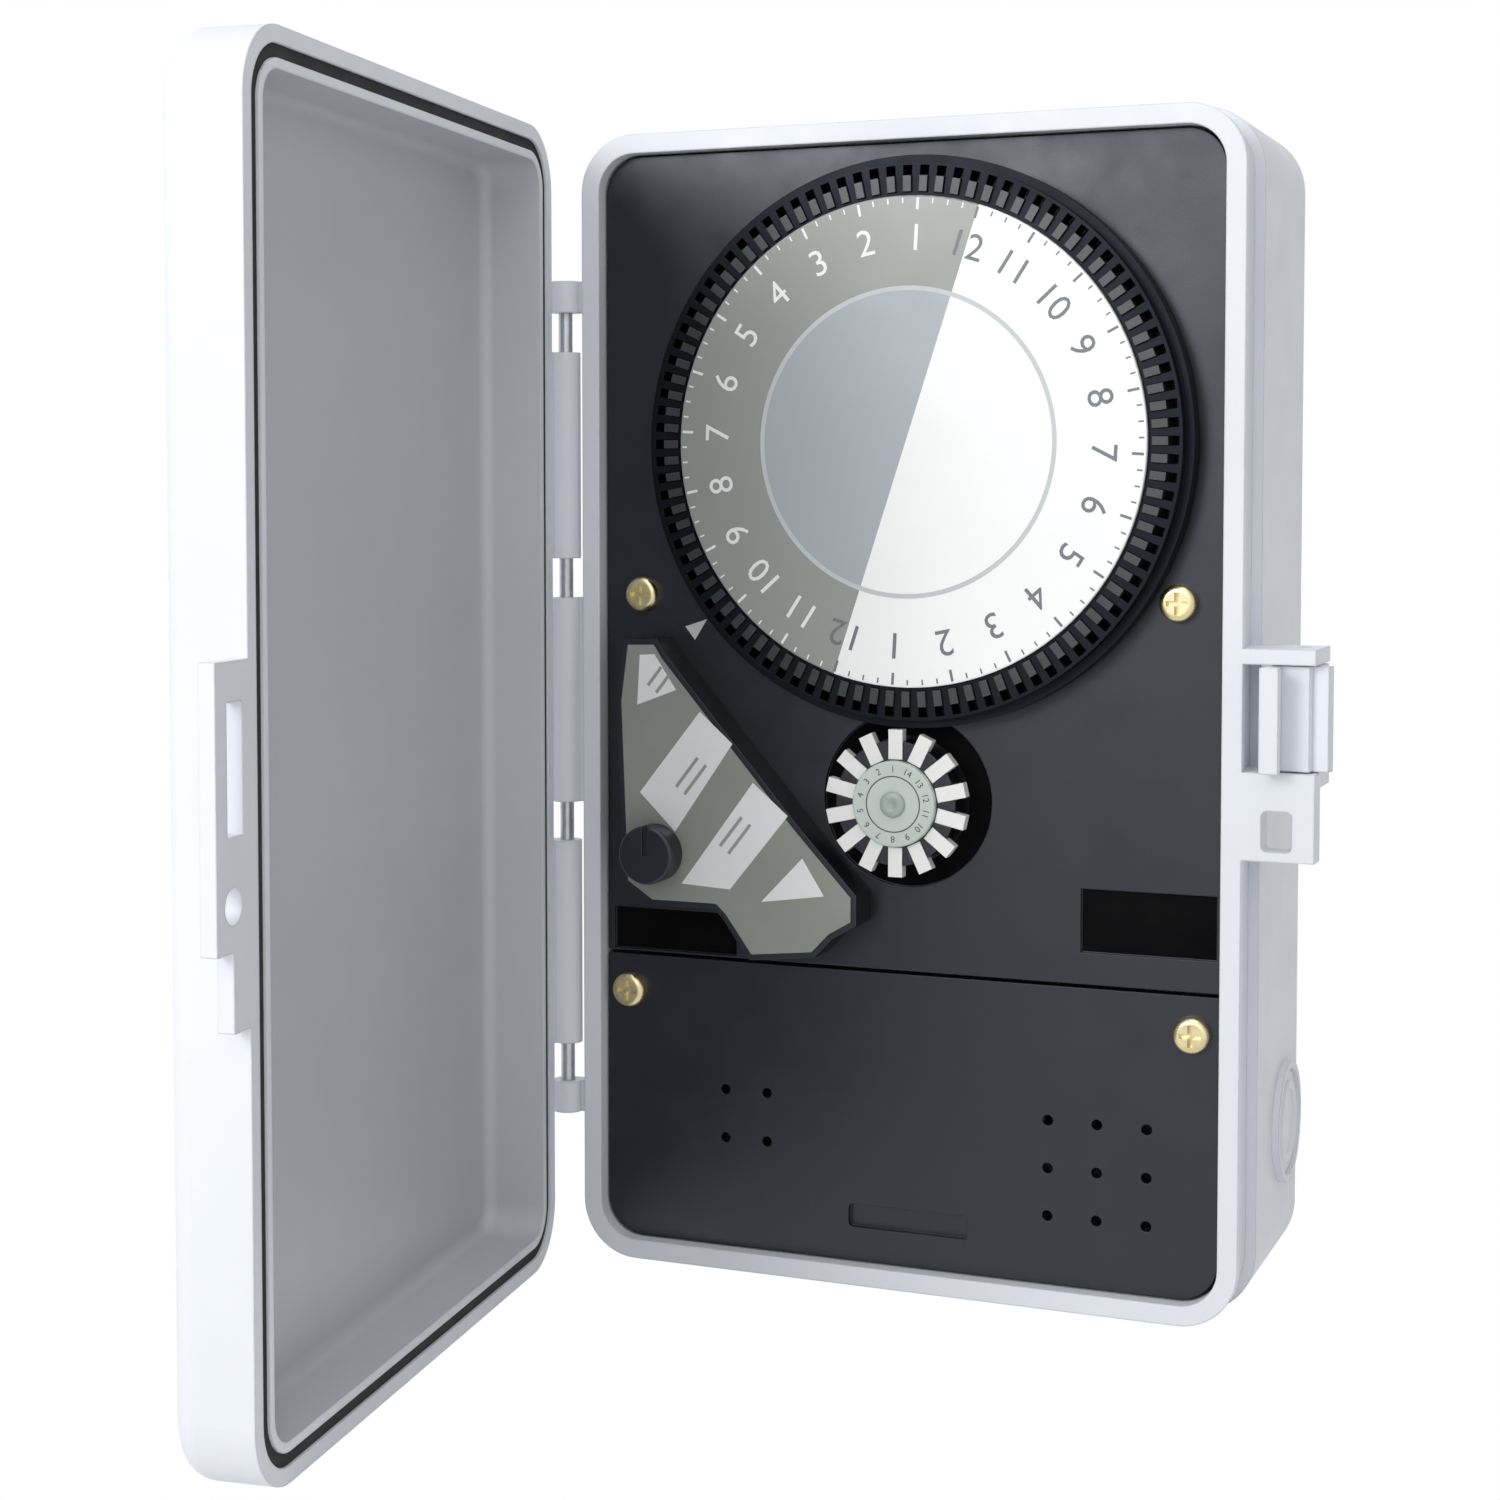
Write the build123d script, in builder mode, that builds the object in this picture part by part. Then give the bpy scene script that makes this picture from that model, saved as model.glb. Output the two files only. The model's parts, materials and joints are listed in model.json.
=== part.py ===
from build123d import *
import math
import os

# Irrigation controller: a 24-hour dial time switch in a hinged outdoor case.
# Units are millimetres.  +X is right, the front faces -Y, +Y goes into the wall, +Z is up.
# The origin is the centre of the case's back face.  The door stands open in the rest pose.

# ---- Driving sizes: case --------------------------------------------------------------
lip_width = 142.4
lip_height = 241.0
case_depth = 62.0
case_wall = 3.0
lip_radius = 12.0
lip_face = 4.0
lip_thickness = 2.5
neck_inset = 1.2
neck_depth = 13.4
body_step = 1.0
back_round = 6.0

# ---- Driving sizes: panels ------------------------------------------------------------
panel_recess = 3.0
panel_thickness = 2.5
panel_gap = 0.5
panel_radius = 8.0
seam_z = -54.5
seam_gap = 0.8
upper_screw_inset = 9.2
upper_screw_z = 23.0
lower_screw_inset = 5.9
lower_screw_z = -62.5
boss_radius = 4.0
pad_inset_x = 7.2
pad_inset_z = 9.0
recess_depth = 0.8

# ---- Driving sizes: dial and day wheel ------------------------------------------------
dial_x = 3.9
dial_z = 54.85
dial_radius = 58.0
face_radius = 49.5
face_thickness = 1.2
dial_proud = 6.0
web_thickness = 2.0
dial_lift = 1.0
rim_thickness = 1.7
skirt_depth = 2.0
tripper_count = 96
tripper_inner = 50.3
tripper_length = 3.2
tripper_width = 1.7
tripper_travel = 2.0
tripper_foot = 1.0
jointed_trippers = 4

day_x = 1.5
day_z = -18.45
day_count = 14
day_hub_radius = 12.8
day_hub_height = 5.0
day_face_radius = 8.8
day_face_thickness = 1.5
day_tab_inner = 9.0
day_tab_outer = 15.1
day_tab_width = 3.0
day_tab_thickness = 2.4
day_recess_radius = 18.2

# ---- Driving sizes: gear train --------------------------------------------------------
fine_module = 0.8
coarse_module = 1.0
pinion_teeth = 16
dial_teeth = 80
idler_teeth = 56
day_teeth = 64
motor_angle = 130.0
gear_width = 3.0
chassis_y = -38.0
chassis_thickness = 2.0
dial_arbor_radius = 3.0
day_arbor_radius = 2.0
idler_arbor_radius = 1.5
motor_shaft_radius = 1.5
motor_radius = 25.0
motor_length = 22.0
motor_ear_span = 64.0
motor_ear_thickness = 1.5

# ---- Driving sizes: selector and switch -----------------------------------------------
selector_height = 9.0
selector_wall = 1.6
label_thickness = 0.8
label_inset = 1.2
knob_x = -51.3
knob_z = -31.1
knob_radius = 6.15
knob_height = 5.5
knob_shaft_radius = 2.5
cam_radius = 6.5
cam_thickness = 3.0
lever_x = -44.1
lever_width = 5.0
lever_tip_z = 32.4
lever_pivot_z = 22.0
lever_pin_radius = 1.0
lever_arm = 3.0
plunger_radius = 1.5
plunger_z = 8.0
switch_length = 20.0
switch_width = 10.0
switch_height = 6.0

# ---- Driving sizes: terminals and entries ---------------------------------------------
block_length = 70.0
block_height = 22.0
block_depth = 20.0
block_z = -87.0
terminal_count = 6
terminal_pitch = 10.0
entry_radius = 11.1
entry_y = -27.0
side_entry_y = -20.3
side_entry_z = -87.6
ring_width = 1.6
ring_proud = 1.5
wall_hole_radius = 2.5
wall_hole_x = 45.0
wall_hole_z = 95.0

# ---- Driving sizes: door, hinge and latch ---------------------------------------------
door_open = 83.0
door_depth = 16.0
door_wall = 3.0
door_round = 5.0
groove_width = 2.4
rib_width = 1.8
tray_round = 2.5
groove_depth = 3.5
gasket_depth = 3.0
rim_gap = 0.3
hinge_out = 4.7
hinge_back = 1.5
hinge_length = 180.0
knuckle_radius = 3.2
knuckle_pitch = 52.7
knuckle_window = 8.5
hinge_pin_radius = 1.5
ear_thickness = 3.0
ear_reach = 11.5
ear_top = 18.3
ear_bottom = -28.4
ear_step_reach = 5.8
ear_step_bottom = -41.6
window_start = 2.2
window_width = 5.5
padlock_radius = 3.0
padlock_out = 6.8
padlock_z = -21.0
lug_reach = 13.1
lug_bottom = -26.9
lug_top = -9.6
lug_depth = 6.0
flange_top = 14.5
flange_thickness = 3.0
flange_depth = 16.0
latch_pin_radius = 1.2
latch_pin_out = 10.3
latch_pin_back = 10.0
latch_swing = 8.0

# ---- Clearances -----------------------------------------------------------------------
running_fit = 0.05
press_gap = 0.02
slide_gap = 0.1
moving_gap = 0.3
window_gap = 0.5
flank_gap = 0.06

# ---- Worked out from the sizes above --------------------------------------------------
lip_y = -case_depth
body_width = lip_width + 2 * body_step
body_height = lip_height + 2 * body_step
body_front_y = lip_y + neck_depth
opening_width = lip_width - 2 * lip_face
opening_height = lip_height - 2 * lip_face
panel_width = opening_width - 2 * panel_gap
panel_height = opening_height - 2 * panel_gap
panel_front_y = lip_y + panel_recess
panel_back_y = panel_front_y + panel_thickness
upper_screw_x = opening_width / 2 - upper_screw_inset
lower_screw_x = opening_width / 2 - lower_screw_inset
pad_x = opening_width / 2 - pad_inset_x
pad_z = opening_height / 2 - pad_inset_z
face_y = lip_y - dial_proud
chassis_front_y = chassis_y - chassis_thickness

dial_gear_radius = fine_module * dial_teeth / 2
motor_distance = fine_module * (dial_teeth + pinion_teeth) / 2
motor_x = dial_x + motor_distance * math.cos(math.radians(motor_angle))
motor_z = dial_z + motor_distance * math.sin(math.radians(motor_angle))
first_distance = coarse_module * (idler_teeth + pinion_teeth) / 2
second_distance = coarse_module * (day_teeth + pinion_teeth) / 2
train_length = math.hypot(day_x - dial_x, day_z - dial_z)
train_angle = math.atan2(day_z - dial_z, day_x - dial_x)
idler_cosine = (first_distance**2 + train_length**2 - second_distance**2) / (2 * first_distance * train_length)
idler_bearing = train_angle + math.acos(idler_cosine)
idler_x = dial_x + first_distance * math.cos(idler_bearing)
idler_z = dial_z + first_distance * math.sin(idler_bearing)
day_bearing = math.atan2(day_z - idler_z, day_x - idler_x)

dial_gear_y = panel_back_y + 1.0
idler_gear_y = dial_gear_y + gear_width + 2.5
day_gear_y = idler_gear_y + gear_width + 2.0

hinge_x = -lip_width / 2 - hinge_out
hinge_y = lip_y + hinge_back
wall_x = body_width / 2
latch_x = wall_x + latch_pin_out - body_step
latch_y = lip_y + latch_pin_back
ring_radius = entry_radius + ring_width
padlock_x = wall_x + padlock_out - body_step
latch_low = lug_top + moving_gap
latch_high = flange_top - flange_thickness - moving_gap
window_bottom = latch_low - window_gap
window_top = latch_high + window_gap

# Selector outline, clockwise from its top left corner, seen from the front.
selector_outline = [
    (-58.8, 13.8),
    (-51.1, 14.0),
    (-49.0, 10.7),
    (-19.3, -23.8),
    (-6.4, -37.7),
    (-6.4, -43.9),
    (-11.6, -46.9),
    (-15.6, -51.1),
    (-30.1, -52.6),
    (-36.2, -44.1),
    (-38.0, -42.4),
    (-52.5, -42.4),
    (-59.0, -38.1),
    (-60.5, 0.8),
]

os.makedirs("parts", exist_ok=True)


def front(y):
    """Plane facing the front at depth y: local x is right, local y is up, out is -Y."""
    return Plane.XZ.offset(-y)


def side(x):
    """Plane facing right at x: local x is +Y, local y is up, out is +X."""
    return Plane.YZ.offset(x)


def involute(angle):
    return math.tan(angle) - angle


def gear_points(teeth, module, centre, tooth_at):
    """Spur gear outline about centre, with one tooth centred on the bearing tooth_at (radians)."""
    pitch_radius = module * teeth / 2
    base_radius = pitch_radius * math.cos(math.radians(20))
    root_radius = pitch_radius - 1.25 * module
    tip_radius = pitch_radius + 0.9 * module
    at_pitch = math.pi / (2 * teeth) - flank_gap / pitch_radius + involute(math.radians(20))
    flank = []
    for radius in (root_radius, max(base_radius, root_radius + 0.2 * module), pitch_radius, tip_radius):
        pressure = math.acos(min(1.0, base_radius / radius))
        flank.append((radius, at_pitch - involute(pressure)))
    points = []
    for tooth in range(teeth):
        middle = tooth_at + 2 * math.pi * tooth / teeth
        outline = [(radius, middle - half) for radius, half in flank]
        outline += [(radius, middle + half) for radius, half in reversed(flank)]
        for radius, angle in outline:
            points.append((centre[0] + radius * math.cos(angle), centre[1] + radius * math.sin(angle)))
    return points


def meshing_tooth(teeth, bearing):
    """Bearing of a tooth on a gear whose gap faces back along the bearing it is met from."""
    return bearing + math.pi + math.pi / teeth


# ---- Case: shell, panel bosses, hinge knuckles, latch brackets and padlock lug ---------
hinge_solid = (hinge_length - 3 * knuckle_pitch - knuckle_window) / 2
case_knuckles = [
    (-hinge_length / 2, -hinge_length / 2 + hinge_solid),
    (-knuckle_pitch / 2 + knuckle_window / 2, knuckle_pitch / 2 - knuckle_window / 2),
    (hinge_length / 2 - hinge_solid, hinge_length / 2),
]

with BuildPart() as case:
    with BuildSketch(front(0)):
        RectangleRounded(body_width, body_height, lip_radius + body_step)
    extrude(amount=-body_front_y)
    fillet(case.faces().sort_by(Axis.Y)[-1].edges(), back_round)
    with BuildSketch(front(body_front_y)):
        RectangleRounded(lip_width - 2 * neck_inset, lip_height - 2 * neck_inset, lip_radius - neck_inset)
    extrude(amount=neck_depth - lip_thickness)
    with BuildSketch(front(lip_y + lip_thickness)):
        RectangleRounded(lip_width, lip_height, lip_radius)
    extrude(amount=lip_thickness)
    with BuildSketch(front(-case_wall)):
        RectangleRounded(body_width - 2 * case_wall, body_height - 2 * case_wall, lip_radius - case_wall)
    extrude(amount=-body_front_y - 2 * case_wall, mode=Mode.SUBTRACT)
    with BuildSketch(front(-case_wall)):
        RectangleRounded(opening_width, opening_height, lip_radius - lip_face)
    extrude(amount=case_depth, mode=Mode.SUBTRACT)
    # Bosses that carry the two panels, and the four rest pads in the corners.
    with BuildSketch(front(-case_wall)):
        with Locations((upper_screw_x, upper_screw_z), (-upper_screw_x, upper_screw_z)):
            Circle(boss_radius)
        with Locations((lower_screw_x, lower_screw_z), (-lower_screw_x, lower_screw_z)):
            Circle(boss_radius)
        with GridLocations(2 * pad_x, 2 * pad_z, 2, 2):
            Circle(boss_radius)
    extrude(amount=-panel_back_y - case_wall)
    with BuildSketch(front(panel_back_y)):
        with Locations((upper_screw_x, upper_screw_z), (-upper_screw_x, upper_screw_z)):
            Circle(2.0 + press_gap)
        with Locations((lower_screw_x, lower_screw_z), (-lower_screw_x, lower_screw_z)):
            Circle(2.0 + press_gap)
    extrude(amount=-14.0, mode=Mode.SUBTRACT)
    # Hinge knuckles on the left.
    for low, high in case_knuckles:
        with BuildSketch(Plane.XY.offset(low)):
            with Locations((hinge_x, hinge_y)):
                Circle(knuckle_radius)
                Rectangle(hinge_out + 2 * neck_inset, knuckle_radius, align=(Align.MIN, Align.MIN))
        extrude(amount=high - low)
    with BuildSketch(Plane.XY.offset(-hinge_length / 2)):
        with Locations((hinge_x, hinge_y)):
            Circle(hinge_pin_radius + running_fit)
    extrude(amount=hinge_length, mode=Mode.SUBTRACT)
    # Padlock lug and latch flanges on the right.
    with BuildSketch(front(lip_y + lug_depth)):
        with Locations((opening_width / 2 + 1, lug_bottom)):
            Rectangle(
                wall_x + lug_reach - opening_width / 2 - 1, lug_top - lug_bottom, align=(Align.MIN, Align.MIN)
            )
    extrude(amount=lug_depth)
    for low in (lug_top - flange_thickness, flange_top - flange_thickness):
        with BuildSketch(Plane.XY.offset(low)):
            with Locations((opening_width / 2 + 1, lip_y)):
                Rectangle(
                    wall_x + lug_reach - opening_width / 2 - 1, flange_depth, align=(Align.MIN, Align.MIN)
                )
        extrude(amount=flange_thickness)
    with BuildSketch(Plane.XY.offset(lug_bottom)):
        with Locations((latch_x, latch_y)):
            Circle(latch_pin_radius + press_gap)
    extrude(amount=flange_top - lug_bottom, mode=Mode.SUBTRACT)
    with BuildSketch(front(lip_y + lug_depth)):
        with Locations((padlock_x, padlock_z)):
            RectangleRounded(2 * padlock_radius, 2 * padlock_radius + 2, 1.2)
    extrude(amount=lug_depth, mode=Mode.SUBTRACT)
    # Side knockout ring, cable entries and wall screw holes.
    with BuildSketch(side(wall_x - case_wall)):
        with Locations((side_entry_y, side_entry_z)):
            Circle(ring_radius)
    extrude(amount=case_wall + ring_proud)
    with BuildSketch(side(wall_x - case_wall)):
        with Locations((side_entry_y, side_entry_z)):
            Circle(entry_radius)
    extrude(amount=case_wall + ring_proud, mode=Mode.SUBTRACT)
    with BuildSketch(Plane.XY.offset(-body_height / 2)):
        with Locations((0, entry_y)):
            Circle(entry_radius)
    extrude(amount=case_wall, mode=Mode.SUBTRACT)
    with BuildSketch(front(0)):
        with GridLocations(2 * wall_hole_x, 2 * wall_hole_z, 2, 2):
            Circle(wall_hole_radius)
    extrude(amount=case_wall, mode=Mode.SUBTRACT)
case.part.label = "case"
export_step(case.part, "parts/case.step")

with BuildPart() as hinge_pin:
    with BuildSketch(Plane.XY.offset(-hinge_length / 2)):
        with Locations((hinge_x, hinge_y)):
            Circle(hinge_pin_radius)
    extrude(amount=hinge_length)
hinge_pin.part.label = "hinge_pin"
export_step(hinge_pin.part, "parts/hinge_pin.step")

with BuildPart() as knockout_plug:
    with BuildSketch(side(wall_x - case_wall)):
        with Locations((side_entry_y, side_entry_z)):
            Circle(entry_radius - slide_gap)
    extrude(amount=case_wall + ring_proud / 2)
    with BuildSketch(side(wall_x - case_wall)):
        with Locations((side_entry_y, side_entry_z)):
            Circle(entry_radius + 2)
    extrude(amount=-1.5)
knockout_plug.part.label = "knockout_plug"
export_step(knockout_plug.part, "parts/knockout_plug.step")

# ---- Dial plate: the upper panel, with the posts and ears of the mechanism --------------
plate_bottom = seam_z + seam_gap / 2
cover_top = seam_z - seam_gap / 2
chassis_posts = [(-46.0, 100.0), (46.0, 100.0), (42.0, -30.0), (-40.0, -40.0)]
post_radius = 3.5
post_pilot = 1.5

with BuildPart() as dial_plate:
    with BuildSketch(front(panel_back_y)):
        RectangleRounded(panel_width, panel_height, panel_radius)
        with Locations((0, plate_bottom)):
            Rectangle(panel_width, panel_height, align=(Align.CENTER, Align.MAX), mode=Mode.SUBTRACT)
        with Locations((upper_screw_x, upper_screw_z), (-upper_screw_x, upper_screw_z)):
            Circle(2.2, mode=Mode.SUBTRACT)
        with Locations((dial_x, dial_z)):
            Circle(dial_arbor_radius + running_fit, mode=Mode.SUBTRACT)
        with Locations((day_x, day_z)):
            Circle(day_arbor_radius + running_fit, mode=Mode.SUBTRACT)
        with Locations((knob_x, knob_z)):
            Circle(knob_shaft_radius + running_fit, mode=Mode.SUBTRACT)
        with Locations((idler_x, idler_z)):
            Circle(idler_arbor_radius + press_gap, mode=Mode.SUBTRACT)
        with Locations((lever_x, lever_tip_z)):
            Rectangle(lever_width + 1.0, lever_arm + 2.0, mode=Mode.SUBTRACT)
    extrude(amount=panel_thickness)
    with BuildSketch(front(panel_front_y)):
        with Locations((day_x, day_z)):
            Circle(day_recess_radius)
        with Locations((panel_width / 2 - 14.5, -41.2)):
            Rectangle(27.6, 13.0)
        with Locations((-panel_width / 2 + 15.8, -49.2)):
            Rectangle(28.6, 9.0)
    extrude(amount=-recess_depth, mode=Mode.SUBTRACT)
    with BuildSketch(front(panel_back_y)):
        with Locations(*chassis_posts):
            Circle(post_radius)
    extrude(amount=-(chassis_front_y - panel_back_y))
    with BuildSketch(front(chassis_front_y)):
        with Locations(*chassis_posts):
            Circle(post_pilot + press_gap)
    extrude(amount=8.0, mode=Mode.SUBTRACT)
    for ear_x in (lever_x - lever_width / 2 - 2.5, lever_x + lever_width / 2 + 0.5):
        with BuildSketch(side(ear_x)):
            with Locations((panel_back_y, lever_pivot_z)):
                Rectangle(7.0, 5.0, align=(Align.MIN, Align.CENTER))
        extrude(amount=2.0)
    with BuildSketch(side(lever_x - lever_width / 2 - 2.5)):
        with Locations((panel_back_y + 5.0, lever_pivot_z)):
            Circle(lever_pin_radius + press_gap)
    extrude(amount=lever_width + 5.0, mode=Mode.SUBTRACT)
dial_plate.part.label = "dial_plate"
export_step(dial_plate.part, "parts/dial_plate.step")

# ---- Terminal cover: the lower panel, with vent holes and a lifting notch ---------------
with BuildPart() as terminal_cover:
    with BuildSketch(front(panel_back_y)):
        RectangleRounded(panel_width, panel_height, panel_radius)
        with Locations((0, cover_top)):
            Rectangle(panel_width, panel_height, align=(Align.CENTER, Align.MIN), mode=Mode.SUBTRACT)
        with Locations((lower_screw_x, lower_screw_z), (-lower_screw_x, lower_screw_z)):
            Circle(2.2, mode=Mode.SUBTRACT)
        with Locations((42.0, -92.3)):
            with GridLocations(10.2, 9.8, 3, 3):
                Circle(1.1, mode=Mode.SUBTRACT)
        with Locations((-34.4, -87.7)):
            with GridLocations(9.5, 10.4, 2, 2):
                Circle(1.1, mode=Mode.SUBTRACT)
    extrude(amount=panel_thickness)
    with BuildSketch(front(panel_front_y)):
        with Locations((1.8, -106.6)):
            RectangleRounded(26.0, 5.0, 1.0)
    extrude(amount=-1.4, mode=Mode.SUBTRACT)
terminal_cover.part.label = "terminal_cover"
export_step(terminal_cover.part, "parts/terminal_cover.step")

# ---- Four brass screws that hold the panels --------------------------------------------
panel_screws = [
    (upper_screw_x, upper_screw_z),
    (-upper_screw_x, upper_screw_z),
    (lower_screw_x, lower_screw_z),
    (-lower_screw_x, lower_screw_z),
]
with BuildPart() as cover_screws:
    with BuildSketch(front(panel_front_y)):
        with Locations(*panel_screws):
            Circle(3.75)
    extrude(amount=2.5)
    fillet(cover_screws.faces().filter_by(GeomType.PLANE).group_by(Axis.Y)[0].edges(), 1.4)
    with BuildSketch(front(panel_front_y)):
        with Locations(*panel_screws):
            Circle(2.0)
    extrude(amount=-14.0)
    with BuildSketch(front(panel_front_y - 2.5)):
        with Locations(*panel_screws):
            Rectangle(4.4, 1.0)
            Rectangle(1.0, 4.4)
    extrude(amount=-1.2, mode=Mode.SUBTRACT)
cover_screws.part.label = "cover_screws"
export_step(cover_screws.part, "parts/cover_screws.step")

# ---- Chassis plate behind the gears -----------------------------------------------------
chassis_width = 104.0
chassis_top = 110.0
chassis_bottom = -47.0
motor_screws = [
    (motor_x - motor_ear_span / 2 + 4, motor_z),
    (motor_x + motor_ear_span / 2 - 4, motor_z),
]
with BuildPart() as chassis_plate:
    with BuildSketch(front(chassis_y)):
        with Locations((0, chassis_bottom)):
            Rectangle(chassis_width, chassis_top - chassis_bottom, align=(Align.CENTER, Align.MIN))
        with Locations((dial_x, dial_z)):
            Circle(dial_arbor_radius + running_fit, mode=Mode.SUBTRACT)
        with Locations((day_x, day_z)):
            Circle(day_arbor_radius + running_fit, mode=Mode.SUBTRACT)
        with Locations((idler_x, idler_z)):
            Circle(idler_arbor_radius + press_gap, mode=Mode.SUBTRACT)
        with Locations((motor_x, motor_z)):
            Circle(motor_shaft_radius + 2.5, mode=Mode.SUBTRACT)
        with Locations(*chassis_posts, *motor_screws):
            Circle(post_pilot + press_gap, mode=Mode.SUBTRACT)
        with Locations((knob_x, knob_z)):
            Circle(cam_radius + 1.0, mode=Mode.SUBTRACT)
    extrude(amount=chassis_thickness)
chassis_plate.part.label = "chassis_plate"
export_step(chassis_plate.part, "parts/chassis_plate.step")

# ---- Motor, its pinion and the fixing screws --------------------------------------------
with BuildPart() as motor:
    with BuildSketch(front(chassis_y + motor_length)):
        with Locations((motor_x, motor_z)):
            Circle(motor_radius)
    extrude(amount=motor_length)
    fillet(motor.faces().sort_by(Axis.Y)[-1].edges(), 2.0)
    with BuildSketch(front(chassis_y)):
        with Locations((motor_x, motor_z)):
            SlotOverall(motor_ear_span, 9.0)
    extrude(amount=-motor_ear_thickness)
    with BuildSketch(front(chassis_y)):
        with Locations(*motor_screws):
            Circle(post_pilot + press_gap)
    extrude(amount=-motor_ear_thickness, mode=Mode.SUBTRACT)
    with BuildSketch(front(chassis_y)):
        with Locations((motor_x, motor_z)):
            Circle(motor_shaft_radius + running_fit)
    extrude(amount=-8.0, mode=Mode.SUBTRACT)
motor.part.label = "motor"
export_step(motor.part, "parts/motor.step")

motor_bearing = math.radians(motor_angle)
with BuildPart() as motor_pinion:
    with BuildSketch(front(chassis_y + 8.0 - moving_gap)):
        with Locations((motor_x, motor_z)):
            Circle(motor_shaft_radius)
    extrude(amount=chassis_y + 8.0 - moving_gap - dial_gear_y)
    with BuildSketch(front(dial_gear_y + gear_width)):
        with BuildLine():
            pinion_tooth = meshing_tooth(pinion_teeth, motor_bearing)
            Polyline(gear_points(pinion_teeth, fine_module, (motor_x, motor_z), pinion_tooth), close=True)
        make_face()
    extrude(amount=gear_width)
motor_pinion.part.label = "motor_pinion"
export_step(motor_pinion.part, "parts/motor_pinion.step")

screw_seats = [(x, z, chassis_y, 8.0) for x, z in chassis_posts]
screw_seats += [(x, z, chassis_y + motor_ear_thickness, 5.0) for x, z in motor_screws]
with BuildPart() as mechanism_screws:
    for x, z, seat_y, reach in screw_seats:
        with BuildSketch(front(seat_y)):
            with Locations((x, z)):
                Circle(2.75)
        extrude(amount=-2.0)
        with BuildSketch(front(seat_y)):
            with Locations((x, z)):
                Circle(post_pilot)
        extrude(amount=reach)
mechanism_screws.part.label = "mechanism_screws"
export_step(mechanism_screws.part, "parts/mechanism_screws.step")

# ---- Dial: drum, face, arbor with its pinion, gear and trippers -------------------------
web_back_y = panel_front_y - dial_lift - skirt_depth
web_front_y = web_back_y - web_thickness
face_back_y = face_y + face_thickness
slot_outer = tripper_inner + tripper_length + tripper_travel + slide_gap
slot_middle = (tripper_inner - slide_gap + slot_outer) / 2
tripper_front_y = face_back_y - 0.6
comb_front_y = face_back_y
tripper_back_y = web_back_y + tripper_foot

with BuildPart() as dial_drum:
    with BuildSketch(front(web_back_y)):
        with Locations((dial_x, dial_z)):
            Circle(dial_radius)
    extrude(amount=web_thickness)
    with BuildSketch(front(web_back_y)):
        with Locations((dial_x, dial_z)):
            Circle(dial_radius)
            Circle(dial_radius - rim_thickness, mode=Mode.SUBTRACT)
    extrude(amount=-(panel_front_y - dial_lift - web_back_y))
    with BuildSketch(front(web_front_y)):
        with Locations((dial_x, dial_z)):
            Circle(dial_radius - rim_thickness)
            Circle(face_radius - 3.0, mode=Mode.SUBTRACT)
            Circle(2.5 * dial_arbor_radius)
    extrude(amount=web_front_y - comb_front_y)
    with BuildSketch(front(panel_front_y - moving_gap)):
        with Locations((dial_x, dial_z)):
            Circle(2 * dial_arbor_radius)
    extrude(amount=panel_front_y - moving_gap - web_back_y)
    with BuildSketch(front(panel_front_y)):
        with Locations((dial_x, dial_z)):
            Circle(dial_arbor_radius + press_gap)
    extrude(amount=panel_front_y - face_back_y, mode=Mode.SUBTRACT)
    with BuildSketch(front(web_back_y)):
        with Locations((dial_x, dial_z)):
            with PolarLocations(slot_middle, tripper_count):
                Rectangle(slot_outer - tripper_inner + slide_gap, tripper_width + 2 * slide_gap)
    extrude(amount=web_back_y - comb_front_y, mode=Mode.SUBTRACT)
dial_drum.part.label = "dial_drum"
export_step(dial_drum.part, "parts/dial_drum.step")

with BuildPart() as dial_face:
    with BuildSketch(front(face_back_y)):
        with Locations((dial_x, dial_z)):
            Circle(face_radius)
    extrude(amount=face_thickness)
    fillet(dial_face.faces().sort_by(Axis.Y)[0].edges(), 0.3)
dial_face.part.label = "dial_face"
export_step(dial_face.part, "parts/dial_face.step")

with BuildPart() as dial_gear:
    with BuildSketch(front(dial_gear_y + gear_width)):
        with BuildLine():
            Polyline(gear_points(dial_teeth, fine_module, (dial_x, dial_z), motor_bearing), close=True)
        make_face()
        with Locations((dial_x, dial_z)):
            Circle(dial_arbor_radius + press_gap, mode=Mode.SUBTRACT)
            with PolarLocations(0.58 * dial_gear_radius, 5):
                Circle(0.2 * dial_gear_radius, mode=Mode.SUBTRACT)
    extrude(amount=gear_width)
dial_gear.part.label = "dial_gear"
export_step(dial_gear.part, "parts/dial_gear.step")

with BuildPart() as dial_arbor:
    with BuildSketch(front(chassis_y + 1.0)):
        with Locations((dial_x, dial_z)):
            Circle(dial_arbor_radius)
    extrude(amount=chassis_y + 1.0 - face_back_y - press_gap)
    with BuildSketch(front(idler_gear_y + gear_width + 0.5)):
        with BuildLine():
            Polyline(gear_points(pinion_teeth, coarse_module, (dial_x, dial_z), idler_bearing), close=True)
        make_face()
    extrude(amount=gear_width + 1.0)
dial_arbor.part.label = "dial_arbor"
export_step(dial_arbor.part, "parts/dial_arbor.step")

tripper_middle = tripper_inner + tripper_length / 2
tripper_step = 360 / tripper_count
jointed_angles = [90 + 24 * number for number in range(jointed_trippers)]
jointed_angles = [round(angle / tripper_step) * tripper_step for angle in jointed_angles]
all_angles = [number * tripper_step for number in range(tripper_count)]
fixed_angles = [angle for angle in all_angles if angle not in jointed_angles]


def tripper_place(angle):
    """Location of a tripper on the front-facing planes, turned with its bearing."""
    bearing = math.radians(angle)
    x = dial_x + tripper_middle * math.cos(bearing)
    z = dial_z + tripper_middle * math.sin(bearing)
    return Location((x, z), angle)


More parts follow.
